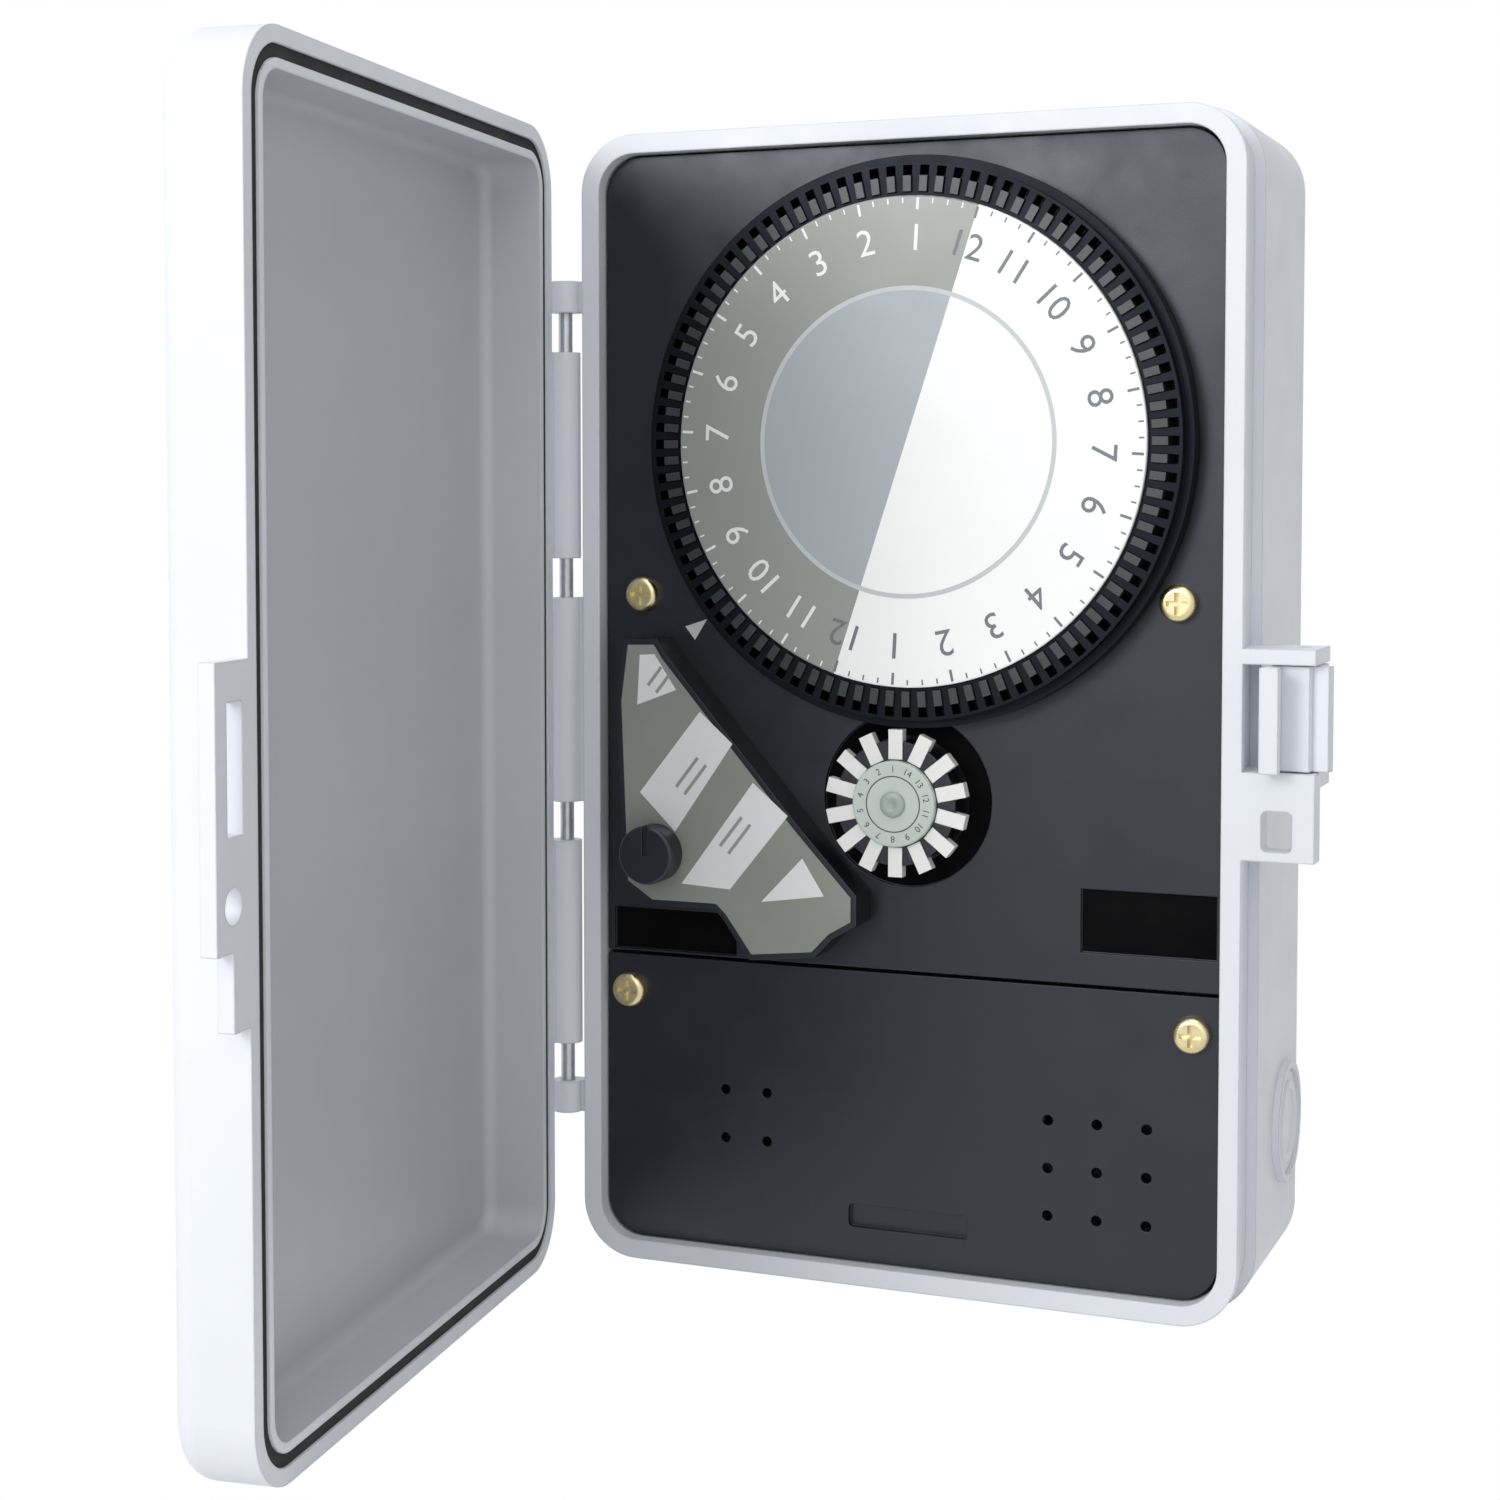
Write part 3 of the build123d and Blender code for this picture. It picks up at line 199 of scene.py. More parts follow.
def moulded_pvc():
    """Rigid PVC, moulded: cool white with a soft satin grain; the door's tray is painted a darker grey for the
    shade it lies in.
    """
    material, tree, place = start_material("moulded_pvc")
    finish = bpy.context.scene.controller_finish
    low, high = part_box("door")
    hinge = next(joint for joint in frame["joints"] if joint["name"] == "door_hinge")
    swing = math.radians(finish.door_open)
    along = Vector((math.cos(swing), -math.sin(swing), 0))
    outward = Vector((-math.sin(swing), -math.cos(swing), 0))
    pivot = Vector(hinge["pos_m"])
    # Door coordinates: x runs from the hinge to the latch, y from the rim to the outer face.
    turned = add(
        tree, "ShaderNodeMapping",
        {"Vector": place, "Location": pivot, "Rotation": Vector((0, 0, -swing))},
        vector_type="TEXTURE",
    )
    parts = add(tree, "ShaderNodeSeparateXYZ", {"Vector": turned.outputs["Vector"]}).outputs
    rim = -(1.8 + finish.tray_depth + 1.5) * MM
    inside_depth = add(tree, "ShaderNodeMath", {0: parts["Y"], 1: rim}, operation="GREATER_THAN")
    inside_start = add(
        tree, "ShaderNodeMath", {0: parts["X"], 1: finish.tray_start * MM}, operation="GREATER_THAN"
    )
    inside_end = add(tree, "ShaderNodeMath", {0: parts["X"], 1: finish.tray_end * MM}, operation="LESS_THAN")
    span = (high.z - low.z) / 2 - finish.tray_border * MM
    height = add(tree, "ShaderNodeMath", {0: parts["Z"]}, operation="ABSOLUTE")
    inside_height = add(tree, "ShaderNodeMath", {0: height.outputs[0], 1: span}, operation="LESS_THAN")
    mask = inside_depth.outputs[0]
    for test in (inside_start, inside_end, inside_height):
        mask = add(tree, "ShaderNodeMath", {0: mask, 1: test.outputs[0]}, operation="MULTIPLY").outputs[0]
    # The mask is kept to the door: the case lies behind the hinge line in these coordinates.
    in_front = add(tree, "ShaderNodeMath", {0: parts["Y"], 1: -1.9 * MM}, operation="LESS_THAN")
    mask = add(tree, "ShaderNodeMath", {0: mask, 1: in_front.outputs[0]}, operation="MULTIPLY").outputs[0]
    # Painted shade: the door's tray gets a darker grey than the outside, in place of the shade it lies in.
    colour = two_tone(tree, mask, linear(finish.enclosure_colour), linear(finish.door_inside_colour))
    tone = mottle(tree, place, colour, 0.03, 60)
    close_material(tree, {
        "Base Color": tone,
        "Roughness": gloss(tree, place, 0.38, 0.52, 12),
        "Normal": skin(tree, place, 0.5, 0.03, 0.6),
        "IOR": 1.53,
    })
    return material


def plain_plastic(
    name, colour, low, high, grain_mm, depth_mm, shift=0.06, edge_mm=0.3, shine=0.5, tint="FFFFFF"
):
    """A moulded plastic of one colour with grain, drifting tone and a wandering sheen."""
    material, tree, place = start_material(name)
    close_material(tree, {
        "Base Color": mottle(tree, place, linear(colour), shift, 18),
        "Roughness": gloss(tree, place, low, high, 9),
        "Normal": skin(tree, place, grain_mm, depth_mm, edge_mm),
        "IOR": 1.5,
        "Specular IOR Level": shine,
        "Specular Tint": linear(tint),
    })
    return material


def black_abs():
    """Black ABS with a fine spark-eroded grain that spreads highlights into a grey veil."""
    colour = bpy.context.scene.controller_finish.panel_colour
    return plain_plastic("black_abs", colour, 0.3, 0.42, 0.45, 0.02, 0.15, shine=0.68, tint="E9ECFB")


def jet_acetal():
    """Jet black acetal of the dial ring, deeper and smoother than the panels round it."""
    return plain_plastic("jet_acetal", "060609", 0.36, 0.48, 0.4, 0.008, 0.1, 0.15, shine=0.22, tint="DDE3FF")


def day_disc_sheet():
    """Pale green-grey sheet of the day disc, which sets it off from the dark plate."""
    return plain_plastic("day_disc_sheet", "C6D0CA", 0.34, 0.46, 0.35, 0.01, 0.04, 0.15)


def tripper_nylon():
    """Dark grey nylon with polished ends, which gives the comb round the dial its grey ticks."""
    return plain_plastic("tripper_nylon", "303236", 0.28, 0.4, 0.3, 0.01, 0.12, 0.15)


def white_acetal():
    """Bright white acetal, smooth and waxy."""
    return plain_plastic("white_acetal", "F1F1EE", 0.25, 0.34, 0.5, 0.006, 0.02, 0.2)


def natural_acetal():
    """Unpigmented acetal of the gears: creamy, with a dull sheen."""
    return plain_plastic("natural_acetal", "DAD6C8", 0.34, 0.46, 0.5, 0.008, 0.04, 0.1)


def label_polycarbonate():
    """Grey-green printed polycarbonate sheet with a velvet texture."""
    finish = bpy.context.scene.controller_finish
    return plain_plastic("label_polycarbonate", finish.label_colour, 0.36, 0.5, 0.35, 0.012, 0.05, 0.15)


def gasket_epdm():
    """Black EPDM foam cord: matt, with open pores."""
    return plain_plastic("gasket_epdm", "17181A", 0.75, 0.9, 0.4, 0.12, 0.2, 0.2)


def dial_ink(name, code):
    """Screen-printed ink: thin, even and slightly glossy."""
    return plain_plastic(name, code, 0.32, 0.42, 0.3, 0.004, 0.03, 0.02)


def printed_dial():
    """Aluminium dial sheet, screen printed in grey for night and white for day."""
    material, tree, place = start_material("printed_dial")
    finish = bpy.context.scene.controller_finish
    low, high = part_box("dial_face")
    centre = (Vector(low) + Vector(high)) / 2
    turned = add(
        tree, "ShaderNodeMapping",
        {"Vector": place, "Location": centre, "Rotation": Vector((0, DIAL_SPLIT, 0))},
        vector_type="TEXTURE",
    ).outputs["Vector"]
    parts = add(tree, "ShaderNodeSeparateXYZ", {"Vector": turned}).outputs
    flat = add(tree, "ShaderNodeCombineXYZ", {"X": parts["X"], "Z": parts["Z"]})
    radius = add(tree, "ShaderNodeVectorMath", {0: flat.outputs["Vector"]}, operation="LENGTH")
    inner = add(
        tree, "ShaderNodeMath", {0: radius.outputs["Value"], 1: finish.dial_circle * MM},
        operation="LESS_THAN",
    )
    day = add(tree, "ShaderNodeMath", {0: parts["X"], 1: 0.0}, operation="GREATER_THAN")
    night = two_tone(
        tree, inner.outputs[0], linear(finish.night_colour), linear(finish.night_inner_colour)
    )
    face = two_tone(tree, day.outputs[0], night, linear(finish.day_colour))
    close_material(tree, {
        "Base Color": mottle(tree, place, face, 0.02, 25),
        "Roughness": gloss(tree, place, 0.3, 0.42, 14),
        "Normal": skin(tree, place, 0.6, 0.006, 0.3),
        "Coat Weight": 0.15,
        "Coat Roughness": 0.2,
    })
    return material


def turned_metal(name, colour, low, high, scratch_mm):
    """A machined metal: turning scratches in its sheen, tarnish in its tone."""
    material, tree, place = start_material(name)
    scratches = add(
        tree, "ShaderNodeTexNoise",
        {"Vector": place, "Scale": per_mm(scratch_mm), "Detail": 6.0, "Distortion": 1.5},
    )
    bump = add(
        tree, "ShaderNodeBump",
        {"Height": scratches.outputs["Fac"], "Strength": 0.5, "Distance": 0.015 * MM},
    )
    close_material(tree, {
        "Base Color": mottle(tree, place, linear(colour), 0.12, 2.5),
        "Metallic": 1.0,
        "Roughness": gloss(tree, place, low, high, 1.5),
        "Normal": bump.outputs["Normal"],
    })
    return material


def lacquered_brass():
    """Brass screws, turned and lacquered: yellow with a warm tarnish."""
    return turned_metal("lacquered_brass", bpy.context.scene.controller_finish.brass_colour, 0.22, 0.42, 0.4)


def zinc_plated_steel():
    """Bright zinc plate on steel: cool grey with a cloudy sheen."""
    return turned_metal("zinc_plated_steel", "B9BDC2", 0.28, 0.45, 0.5)


FINISHES = {
    "enclosure_plastic": moulded_pvc,
    "gasket_rubber": gasket_epdm,
    "steel": zinc_plated_steel,
    "brass": lacquered_brass,
    "black_plastic": black_abs,
    "printed_aluminium": printed_dial,
    "label_plastic": label_polycarbonate,
    "gear_plastic": natural_acetal,
    "tripper_plastic": tripper_nylon,
    "white_plastic": white_acetal,
}


NODE_FINISHES = {
    "dial_drum": jet_acetal,
    "day_face": day_disc_sheet,
}


# ---- Mesh helpers -----------------------------------------------------------------------

def middle(node):
    """Centre of a CAD node's front face."""
    low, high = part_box(node)
    return Vector(((low[0] + high[0]) / 2, low[1], (low[2] + high[2]) / 2))


def facing(point, turn=0.0):
    """Matrix that puts a shape drawn in XY onto the front at point, turned clockwise by turn."""
    upright = Matrix.Rotation(math.radians(90), 4, "X")
    return Matrix.Translation(point) @ Matrix.Rotation(turn, 4, "Y") @ upright


def finish_piece(name, shape, body, material, smooth=False):
    """Makes the bmesh an object at the origin that rides on the body."""
    mesh = bpy.data.meshes.new(name)
    shape.to_mesh(mesh)
    shape.free()
    mesh.materials.append(material)
    for face in mesh.polygons:
        face.use_smooth = smooth
    piece = bpy.data.objects.new(name, mesh)
    bpy.context.collection.objects.link(piece)
    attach(piece, body)
    return piece


def add_words(shape, words, size, place):
    """Adds flat lettering of that height to the bmesh, centred where the matrix puts it."""
    curve = bpy.data.curves.new("lettering", "FONT")
    curve.body = words
    curve.size = size
    curve.align_x = "CENTER"
    curve.align_y = "CENTER"
    curve.resolution_u = 3
    holder = bpy.data.objects.new("lettering", curve)
    bpy.context.collection.objects.link(holder)
    bpy.context.view_layer.update()
    flat = bpy.data.meshes.new_from_object(holder)
    flat.transform(place)
    shape.from_mesh(flat)
    bpy.data.objects.remove(holder)
    bpy.data.meshes.remove(flat)
    bpy.data.curves.remove(curve)


def add_bar(shape, width, length, place):
    """Adds a flat printed bar, width by length, centred where the matrix puts it."""
    grid = bmesh.ops.create_grid(shape, x_segments=1, y_segments=1, size=0.5)
    scale = Matrix.Diagonal((width, length, 1, 1))
    bmesh.ops.transform(shape, matrix=place @ scale, verts=grid["verts"])


def add_ring(shape, radius, width, place, steps=96):
    """Adds a flat printed ring of that mean radius and line width."""
    circle = bmesh.ops.create_circle(shape, segments=steps, radius=radius - width / 2)
    rim = list({edge for vert in circle["verts"] for edge in vert.link_edges})
    wider = bmesh.ops.extrude_edge_only(shape, edges=rim)
    moved = [item for item in wider["geom"] if isinstance(item, bmesh.types.BMVert)]
    grow = (radius + width / 2) / (radius - width / 2)
    bmesh.ops.scale(shape, vec=(grow, grow, 1), verts=moved)
    bmesh.ops.transform(shape, matrix=place, verts=circle["verts"] + moved)


def add_patch(shape, corners, y):
    """Adds a flat printed patch with these corners, given as (x, z) in millimetres."""
    verts = [shape.verts.new((x * MM, y, z * MM)) for x, z in corners]
    bmesh.ops.contextual_create(shape, geom=verts)


def face_front(shape):
    """Turns every face of a flat print towards the front."""
    shape.normal_update()
    backs = [face for face in shape.faces if face.normal.y > 0]
    bmesh.ops.reverse_faces(shape, faces=backs)


def turned_ring(radius, profile, point, axis_turn, steps=64):
    """A lathe-turned shape: the (radius, height) profile in millimetres, spun and placed at point."""
    shape = bmesh.new()
    verts = [shape.verts.new(((radius + r) * MM, 0, h * MM)) for r, h in profile]
    edges = [shape.edges.new(pair) for pair in zip(verts, verts[1:])]
    bmesh.ops.spin(
        shape, geom=verts + edges, cent=(0, 0, 0), axis=(0, 0, 1), dvec=(0, 0, 0),
        angle=2 * math.pi, steps=steps, use_merge=True, use_duplicate=False,
    )
    bmesh.ops.remove_doubles(shape, verts=shape.verts, dist=0.001 * MM)
    bmesh.ops.recalc_face_normals(shape, faces=shape.faces)
    bmesh.ops.transform(shape, matrix=Matrix.Translation(point) @ axis_turn, verts=shape.verts)
    return shape


TO_FRONT = Matrix.Rotation(math.radians(90), 4, "X")
TO_RIGHT = Matrix.Rotation(math.radians(90), 4, "Y")


# ---- Settings ---------------------------------------------------------------------------

class ControllerFinish(bpy.types.PropertyGroup):
    """Colours of the finishes, as sRGB hex values, and where the two-tone ones change."""

    enclosure_colour: bpy.props.StringProperty(
        name="Enclosure", description="Outside of the case and door", default="E4E7EE")
    # Painted shade: this darker grey on the door's tray stands for the shade it lies in.
    door_inside_colour: bpy.props.StringProperty(
        name="Door inside", description="Tray of the door", default="C5C8CE")
    panel_colour: bpy.props.StringProperty(
        name="Panels", description="Black panels, ring and housing", default="0F1015")
    label_colour: bpy.props.StringProperty(
        name="Selector label", description="Ground of the selector label and day disc", default="8D928B")
    stripe_colour: bpy.props.StringProperty(
        name="Stripes", description="Pale stripes on the selector label", default="E8EAEA")
    night_colour: bpy.props.StringProperty(
        name="Night half", description="Hour ring of the night half", default="959A95")
    night_inner_colour: bpy.props.StringProperty(
        name="Night centre", description="Centre of the night half", default="A7B0B6")
    day_colour: bpy.props.StringProperty(
        name="Day half", description="Day half of the dial", default="F8F9F8")
    brass_colour: bpy.props.StringProperty(name="Brass", description="Screws of the panels", default="DDD0A4")
    door_open: bpy.props.FloatProperty(
        name="Door open", description="Angle the door stands open at rest, in degrees", default=83.0)
    tray_depth: bpy.props.FloatProperty(
        name="Tray depth", description="Depth of the door's tray, in mm", default=13.0)
    tray_start: bpy.props.FloatProperty(
        name="Tray start", description="Distance from the hinge to the tray, in mm", default=10.8)
    tray_end: bpy.props.FloatProperty(
        name="Tray end", description="Distance from the hinge to the tray's far side, in mm", default=141.0)
    tray_border: bpy.props.FloatProperty(
        name="Tray border", description="Height from the door's end to the tray, in mm", default=7.1)
    dial_circle: bpy.props.FloatProperty(
        name="Dial circle", description="Radius of the printed circle on the dial, in mm", default=31.0)


class ControllerPrint(bpy.types.PropertyGroup):
    """Sizes of what is printed on the dials."""

    numeral_height: bpy.props.FloatProperty(
        name="Numerals", description="Height of the hour numerals", default=7.6 * MM, unit="LENGTH")
    numeral_radius: bpy.props.FloatProperty(
        name="Numeral ring", description="Radius of the hour numerals", default=40.8 * MM, unit="LENGTH")
    tick_length: bpy.props.FloatProperty(
        name="Ticks", description="Length of the hour ticks", default=2.4 * MM, unit="LENGTH")
    line_width: bpy.props.FloatProperty(
        name="Line", description="Width of printed lines", default=0.55 * MM, unit="LENGTH")
    day_numeral_height: bpy.props.FloatProperty(
        name="Day numerals", description="Height of the day numbers", default=1.9 * MM, unit="LENGTH")


class ControllerStage(bpy.types.PropertyGroup):
    """The studio's light and camera."""

    key_power: bpy.props.FloatProperty(
        name="Key", description="Power of the large lamp at the front", default=2.3, unit="POWER")
    side_power: bpy.props.FloatProperty(
        name="Side", description="Power of the lamp at the left", default=0.6, unit="POWER")
    glare_power: bpy.props.FloatProperty(
        name="Glare", description="Power of the lamp whose reflection veils the panel", default=6.0,
        unit="POWER")
    top_power: bpy.props.FloatProperty(
        name="Top", description="Power of the lamp overhead", default=2.2, unit="POWER")
    sky: bpy.props.FloatProperty(name="Sky", description="Strength of the even light", default=0.42)
    lens: bpy.props.FloatProperty(
        name="Lens", description="Focal length on a 36 mm frame, in mm", default=61.16)


# ---- Operators --------------------------------------------------------------------------

class CONTROLLER_OT_finishes(bpy.types.Operator):
    """Gives every moulded, turned and printed part its finish"""

    bl_idname = "controller.finishes"
    bl_label = "Finishes"

    def execute(self, context):
        finishes = {name: make() for name, make in FINISHES.items()}
        own = {name: make() for name, make in NODE_FINISHES.items()}
        for part in frame["record"]["subparts"]:
            node = frame["nodes"][part["node"]]
            material = own.get(part["node"], finishes[part["material_slot"]])
            if not node.material_slots:
                node.data.materials.append(material)
            for holder in node.material_slots:
                holder.material = material
        return {"FINISHED"}


class CONTROLLER_OT_dial_print(bpy.types.Operator):
    """Prints the hour numerals, ticks and circle on the 24-hour dial"""

    bl_idname = "controller.dial_print"
    bl_label = "Dial print"

    def execute(self, context):
        sizes = context.scene.controller_print
        finish = context.scene.controller_finish
        centre = middle("dial_face") - Vector((0, PRINT_LIFT, 0))
        face_radius = (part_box("dial_face")[1][0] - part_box("dial_face")[0][0]) / 2
        pale = bmesh.new()
        dark = bmesh.new()
        for step in range(HOURS * 4):
            turn = DIAL_SPLIT - step * 2 * math.pi / (HOURS * 4)
            on_night_half = 0 < step < HOURS * 2
            shape = pale if on_night_half else dark
            out = Vector((math.sin(turn), 0, math.cos(turn)))
            whole_hour = step % 4 == 0
            length = sizes.tick_length if whole_hour else sizes.tick_length * 0.45
            mid = centre + out * (face_radius - 0.5 * MM - length / 2)
            add_bar(shape, sizes.line_width * (1.0 if whole_hour else 0.6), length, facing(mid, turn))
            if whole_hour:
                hour = (step // 4 - 1) % 12 + 1
                spot = centre + out * sizes.numeral_radius
                add_words(shape, str(hour), sizes.numeral_height, facing(spot, turn))
        ring = bmesh.new()
        add_ring(ring, finish.dial_circle * MM, sizes.line_width * 1.7, facing(centre))
        inks = (
            ("dial_print_pale", pale, dial_ink("pale_ink", "F2F3F2")),
            ("dial_print_dark", dark, dial_ink("grey_ink", "70757A")),
            ("dial_print_circle", ring, dial_ink("silver_ink", "C4C8CA")),
        )
        for name, shape, ink in inks:
            face_front(shape)
            finish_piece(name, shape, "dial", ink)
        return {"FINISHED"}


class CONTROLLER_OT_day_print(bpy.types.Operator):
    """Numbers the day disc and sets the button in its middle"""

    bl_idname = "controller.day_print"
    bl_label = "Day disc"

    def execute(self, context):
        sizes = context.scene.controller_print
        centre = middle("day_face") - Vector((0, PRINT_LIFT, 0))
        days = len([name for name in frame["nodes"] if name.startswith("day_tab_")])
        numbers = bmesh.new()
        for day in range(days):
            turn = -day * 2 * math.pi / days
            spot = centre + Vector((math.sin(turn), 0, math.cos(turn))) * 7.1 * MM
            add_words(numbers, str(day + 1), sizes.day_numeral_height, facing(spot, turn))
        add_ring(numbers, 5.7 * MM, 0.25 * MM, facing(centre), 48)
        face_front(numbers)
        finish_piece("day_numbers", numbers, "day_wheel", dial_ink("dark_ink", "4C504B"))
        profile = [
            (0.0, 0.0), (2.3, 0.0), (2.6, 0.2), (2.6, 0.5), (2.2, 0.8), (0.9, 0.9), (0.6, 0.55), (0.0, 0.5),
        ]
        button = turned_ring(0.0, profile, centre, TO_FRONT, 40)
        finish_piece(
            "day_button", button, "day_wheel",
            plain_plastic("button_acetal", "A3B3A8", 0.3, 0.4, 0.4, 0.006), smooth=True,
        )
        return {"FINISHED"}


class CONTROLLER_OT_selector_print(bpy.types.Operator):
    """Prints the pale stripes beside the selector knob"""

    bl_idname = "controller.selector_print"
    bl_label = "Selector print"

    def execute(self, context):
        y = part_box("selector_label")[0][1] - PRINT_LIFT
        stripes = bmesh.new()
        for corners in STRIPES:
            add_patch(stripes, corners, y)
        face_front(stripes)
        finish_piece(
            "selector_stripes", stripes, "case_assembly",
            dial_ink("stripe_ink", context.scene.controller_finish.stripe_colour),
        )
        marks = bmesh.new()
        along = Vector((math.cos(STRIPE_SLOPE), 0, math.sin(STRIPE_SLOPE)))
        across = Vector((-along.z, 0, along.x))
        for x, z, length in STRIPE_MARKS:
            for offset in (-1.2, 1.2):
                spot = Vector((x * MM, y - PRINT_LIFT, z * MM)) + across * offset * MM
                add_bar(marks, 0.7 * MM, length * MM, facing(spot, math.radians(90) - STRIPE_SLOPE))
        face_front(marks)
        finish_piece(
            "selector_marks", marks, "case_assembly", dial_ink("faded_ink", "9B9E98")
        )
        return {"FINISHED"}


class CONTROLLER_OT_plate_details(bpy.types.Operator):
    """Puts dark matt card on the name-plate label and, as painted shade, under the selector housing and round the
    day wheel, and adds the time pointer on the panel
    """

    bl_idname = "controller.plate_details"
    bl_label = "Panel details"

    def execute(self, context):
        low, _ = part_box("dial_plate")
        dial = middle("dial_face")
        ring_radius = (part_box("dial_drum")[1][0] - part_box("dial_drum")[0][0]) / 2
        bearing = math.radians(232)
        out = Vector((math.sin(bearing), 0, math.cos(bearing)))
        tip = Vector((dial.x, low[1] - PRINT_LIFT, dial.z)) + out * (ring_radius + 2.0 * MM)
        plate_and_shade_sheet = bmesh.new()
        floor = low[1] + RECESS_DEPTH * MM - PRINT_LIFT
        # Dark matt card: the first patch is the bare name-plate label; the second is painted shadow under the
        # selector housing, and the ring round the day wheel is painted shade in its recess.
        for left, right, bottom, top in PLATE_AND_SHADE_PATCHES:
            add_patch(plate_and_shade_sheet, [(left, bottom), (left, top), (right, top), (right, bottom)], floor)
        wheel = middle("day_face")
        wheel_floor = facing(Vector((wheel.x, floor, wheel.z)))
        add_ring(plate_and_shade_sheet, WHEEL_RECESS_RADIUS * MM, WHEEL_RECESS_WIDTH * MM, wheel_floor)
        face_front(plate_and_shade_sheet)
        finish_piece(
            "plate_and_painted_shade", plate_and_shade_sheet, "case_assembly",
            plain_plastic("matt_plate_and_shade_card", "060608", 0.8, 0.95, 0.5, 0.02, shine=0.1),
        )
        pointer = bmesh.new()
        side = Vector((out.z, 0, -out.x))
        corners = [tip, tip + out * 5 * MM + side * 1.8 * MM, tip + out * 5 * MM - side * 1.8 * MM]
        verts = [pointer.verts.new(corner) for corner in corners]
        bmesh.ops.contextual_create(pointer, geom=verts)
        face_front(pointer)
        finish_piece(
            "time_pointer", pointer, "case_assembly", dial_ink("pointer_ink", "D9DADA")
        )
        return {"FINISHED"}


class CONTROLLER_OT_knockout_rings(bpy.types.Operator):
    """Raises the concentric rings of the side knockout"""

    bl_idname = "controller.knockout_rings"
    bl_label = "Knockout rings"

    def execute(self, context):
        low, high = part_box("knockout_plug")
        point = Vector((high[0], (low[1] + high[1]) / 2, (low[2] + high[2]) / 2))
        profile = [(-0.9, -0.1), (-0.8, 0.4), (-0.4, 0.7), (0.4, 0.7), (0.8, 0.4), (0.9, -0.1)]
        ring = turned_ring(7.6, profile, point, TO_RIGHT)
        plastic = bpy.data.materials["moulded_pvc"]
        finish_piece("knockout_ring", ring, "case_assembly", plastic, smooth=True)
        return {"FINISHED"}


def stage_white(name):
    """Matt white paper that shows plain white to the camera and in reflections."""
    material, tree, _ = start_material(name)
    path = add(tree, "ShaderNodeLightPath").outputs
    seen = add(
        tree, "ShaderNodeMath", {0: path["Is Camera Ray"], 1: path["Is Glossy Ray"]}, operation="MAXIMUM"
    )
    paper = add(tree, "ShaderNodeBsdfDiffuse", {"Color": (0.9, 0.9, 0.9, 1)})
    glow = add(tree, "ShaderNodeEmission", {"Color": (1, 1, 1, 1), "Strength": 1.0})
    mix = add(
        tree, "ShaderNodeMixShader",
        {0: seen.outputs[0], 1: paper.outputs["BSDF"], 2: glow.outputs["Emission"]},
    )
    add(tree, "ShaderNodeOutputMaterial", {"Surface": mix.outputs["Shader"]})
    return material


def lamp(name, power, size, spot, target):
    """A square soft lamp at spot, aimed at target."""
    light = bpy.data.lights.new(name, "AREA")
    light.energy = power
    light.size = size
    holder = bpy.data.objects.new(name, light)
    holder.location = spot
    aim = Vector(target) - Vector(spot)
    holder.rotation_euler = aim.to_track_quat("-Z", "Y").to_euler()
    bpy.context.collection.objects.link(holder)


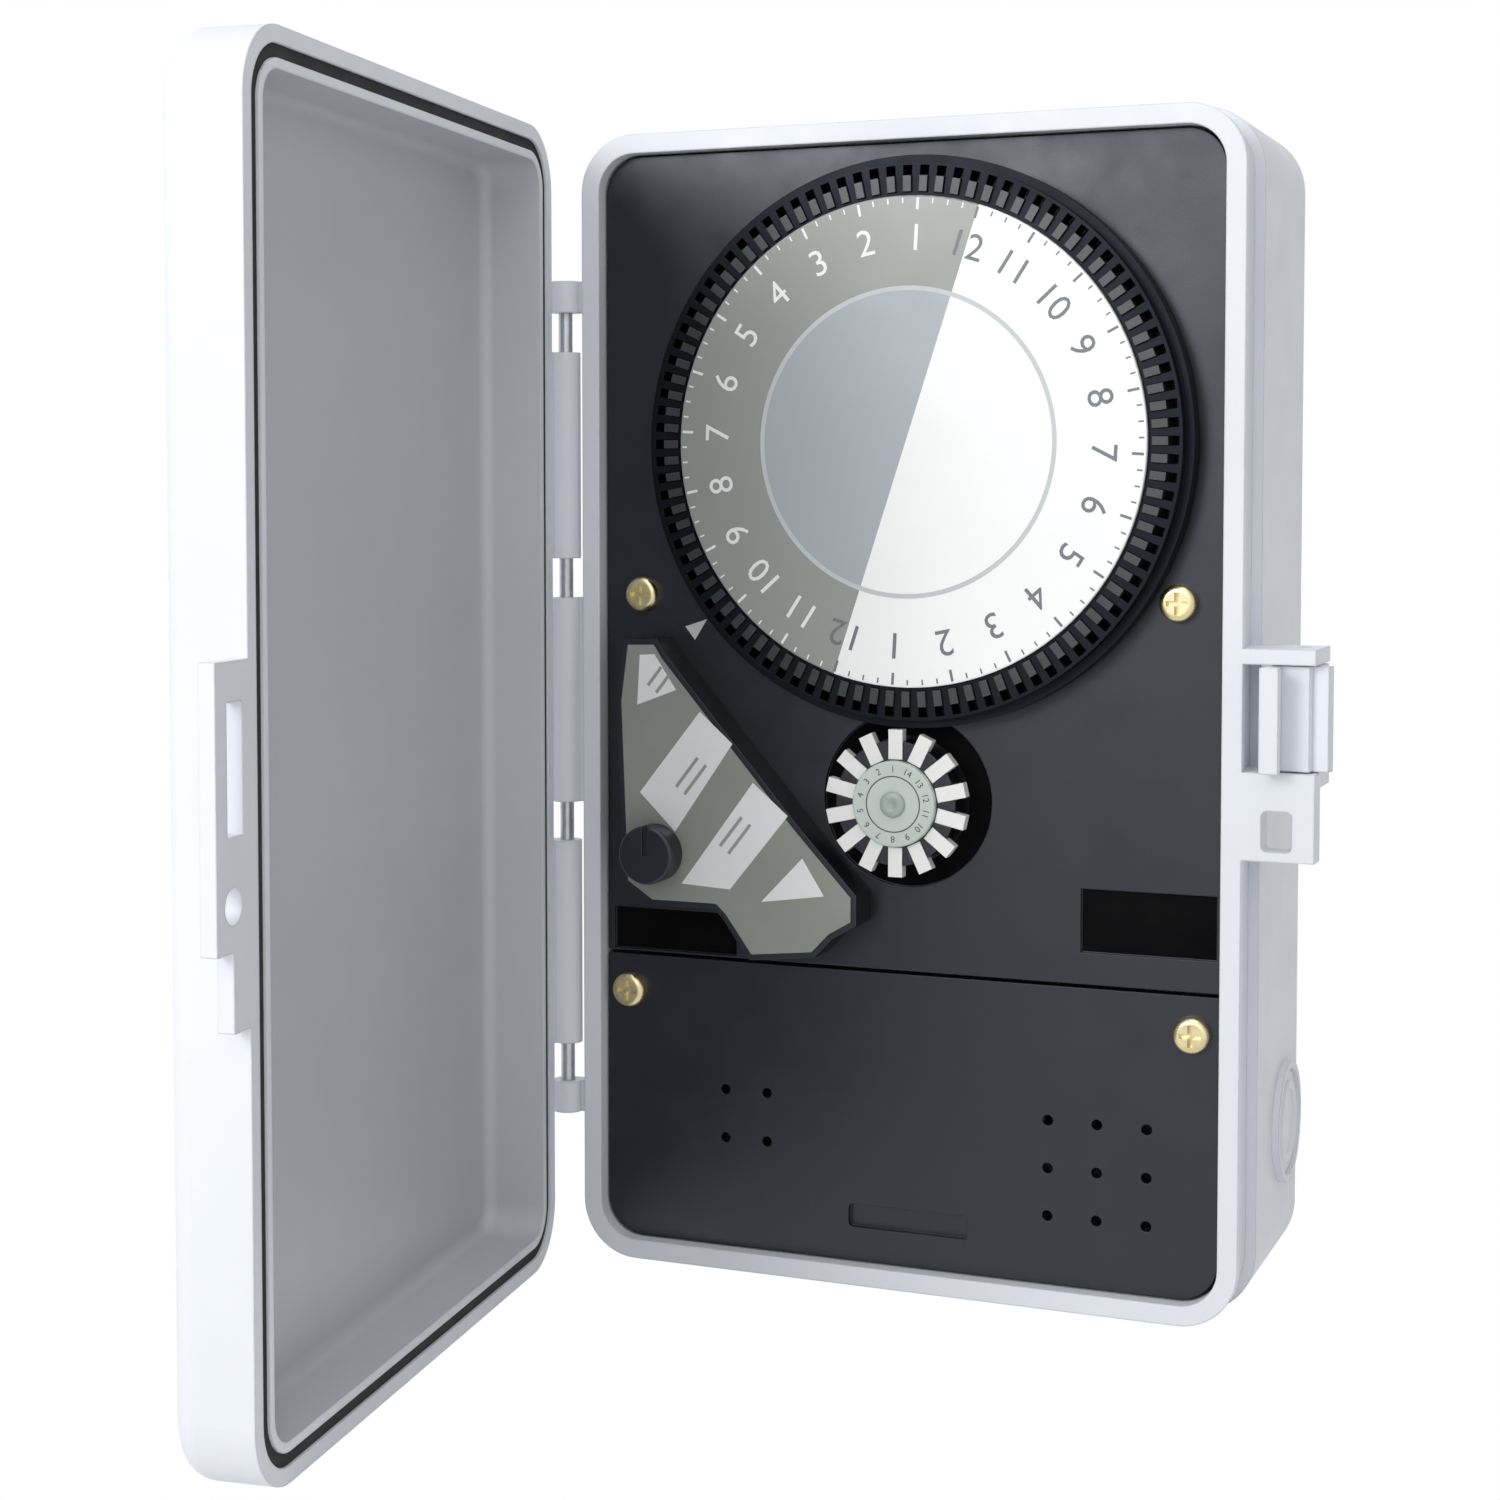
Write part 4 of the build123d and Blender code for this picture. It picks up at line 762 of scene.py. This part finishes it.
class CONTROLLER_OT_stage(bpy.types.Operator):
    """Sets the white floor, the even sky, three soft lamps and the camera"""

    bl_idname = "controller.stage"
    bl_label = "Stage"

    def execute(self, context):
        studio = context.scene.controller_stage
        scene = context.scene
        floor = bmesh.new()
        bmesh.ops.create_grid(floor, x_segments=1, y_segments=1, size=6.0)
        drop = Vector((0, 0, CAD_BOX[0][2] - 1 * MM))
        bmesh.ops.translate(floor, vec=drop, verts=floor.verts)
        mesh = bpy.data.meshes.new("floor")
        floor.to_mesh(mesh)
        floor.free()
        mesh.materials.append(stage_white("floor_paper"))
        ground = bpy.data.objects.new("floor", mesh)
        context.collection.objects.link(ground)

        world = bpy.data.worlds.new("studio")
        world.use_nodes = True
        tree = world.node_tree
        tree.nodes.clear()
        path = add(tree, "ShaderNodeLightPath").outputs
        seen = path["Is Camera Ray"]
        for ray in ("Is Transmission Ray", "Is Glossy Ray"):
            seen = add(tree, "ShaderNodeMath", {0: seen, 1: path[ray]}, operation="MAXIMUM").outputs[0]
        strength = add(
            tree, "ShaderNodeMapRange", {"Value": seen, "To Min": studio.sky, "To Max": 1.0}
        )
        sky = add(
            tree, "ShaderNodeBackground", {"Color": (1, 1, 1, 1), "Strength": strength.outputs["Result"]}
        )
        add(tree, "ShaderNodeOutputWorld", {"Surface": sky.outputs["Background"]})
        scene.world = world

        powers = {
            "key": studio.key_power,
            "side": studio.side_power,
            "glare": studio.glare_power,
            "top": studio.top_power,
        }
        for name, (spot, size) in LAMPS.items():
            lamp(name, powers[name], size, spot, LAMP_TARGET)

        camera = bpy.data.cameras.new("camera")
        camera.lens = studio.lens
        camera.sensor_width = 36
        camera.shift_x = -0.0007
        camera.shift_y = -0.0924
        viewer = bpy.data.objects.new("camera", camera)
        viewer.location = CAMERA_SPOT
        viewer.rotation_euler = (math.radians(90) - CAMERA_TILT, 0, CAMERA_TURN)
        context.collection.objects.link(viewer)
        scene.camera = viewer
        scene.view_settings.view_transform = "Standard"
        return {"FINISHED"}


class CONTROLLER_PT_panel(bpy.types.Panel):
    """Lists the steps that finish the controller"""

    bl_idname = "CONTROLLER_PT_panel"
    bl_label = "Irrigation controller"
    bl_space_type = "VIEW_3D"
    bl_region_type = "UI"
    bl_category = "Controller"

    def draw(self, context):
        for operator in OPERATORS:
            self.layout.operator(operator.bl_idname)
        for group in ("controller_finish", "controller_print", "controller_stage"):
            settings = getattr(context.scene, group)
            box = self.layout.box()
            for name in settings.__annotations__:
                box.prop(settings, name)


OPERATORS = (
    CONTROLLER_OT_finishes,
    CONTROLLER_OT_dial_print,
    CONTROLLER_OT_day_print,
    CONTROLLER_OT_selector_print,
    CONTROLLER_OT_plate_details,
    CONTROLLER_OT_knockout_rings,
    CONTROLLER_OT_stage,
)
GROUPS = (ControllerFinish, ControllerPrint, ControllerStage)


def register():
    """Adds the operators, the panel and the settings."""
    for part in GROUPS + OPERATORS + (CONTROLLER_PT_panel,):
        bpy.utils.register_class(part)
    bpy.types.Scene.controller_finish = bpy.props.PointerProperty(type=ControllerFinish)
    bpy.types.Scene.controller_print = bpy.props.PointerProperty(type=ControllerPrint)
    bpy.types.Scene.controller_stage = bpy.props.PointerProperty(type=ControllerStage)


def unregister():
    """Takes away everything that register added."""
    for name in ("controller_finish", "controller_print", "controller_stage"):
        delattr(bpy.types.Scene, name)
    for part in reversed(GROUPS + OPERATORS + (CONTROLLER_PT_panel,)):
        bpy.utils.unregister_class(part)


def main():
    """Runs every step."""
    register()
    bpy.ops.controller.finishes()
    bpy.ops.controller.dial_print()
    bpy.ops.controller.day_print()
    bpy.ops.controller.selector_print()
    bpy.ops.controller.plate_details()
    bpy.ops.controller.knockout_rings()
    bpy.ops.controller.stage()


if __name__ == "__main__":
    main()
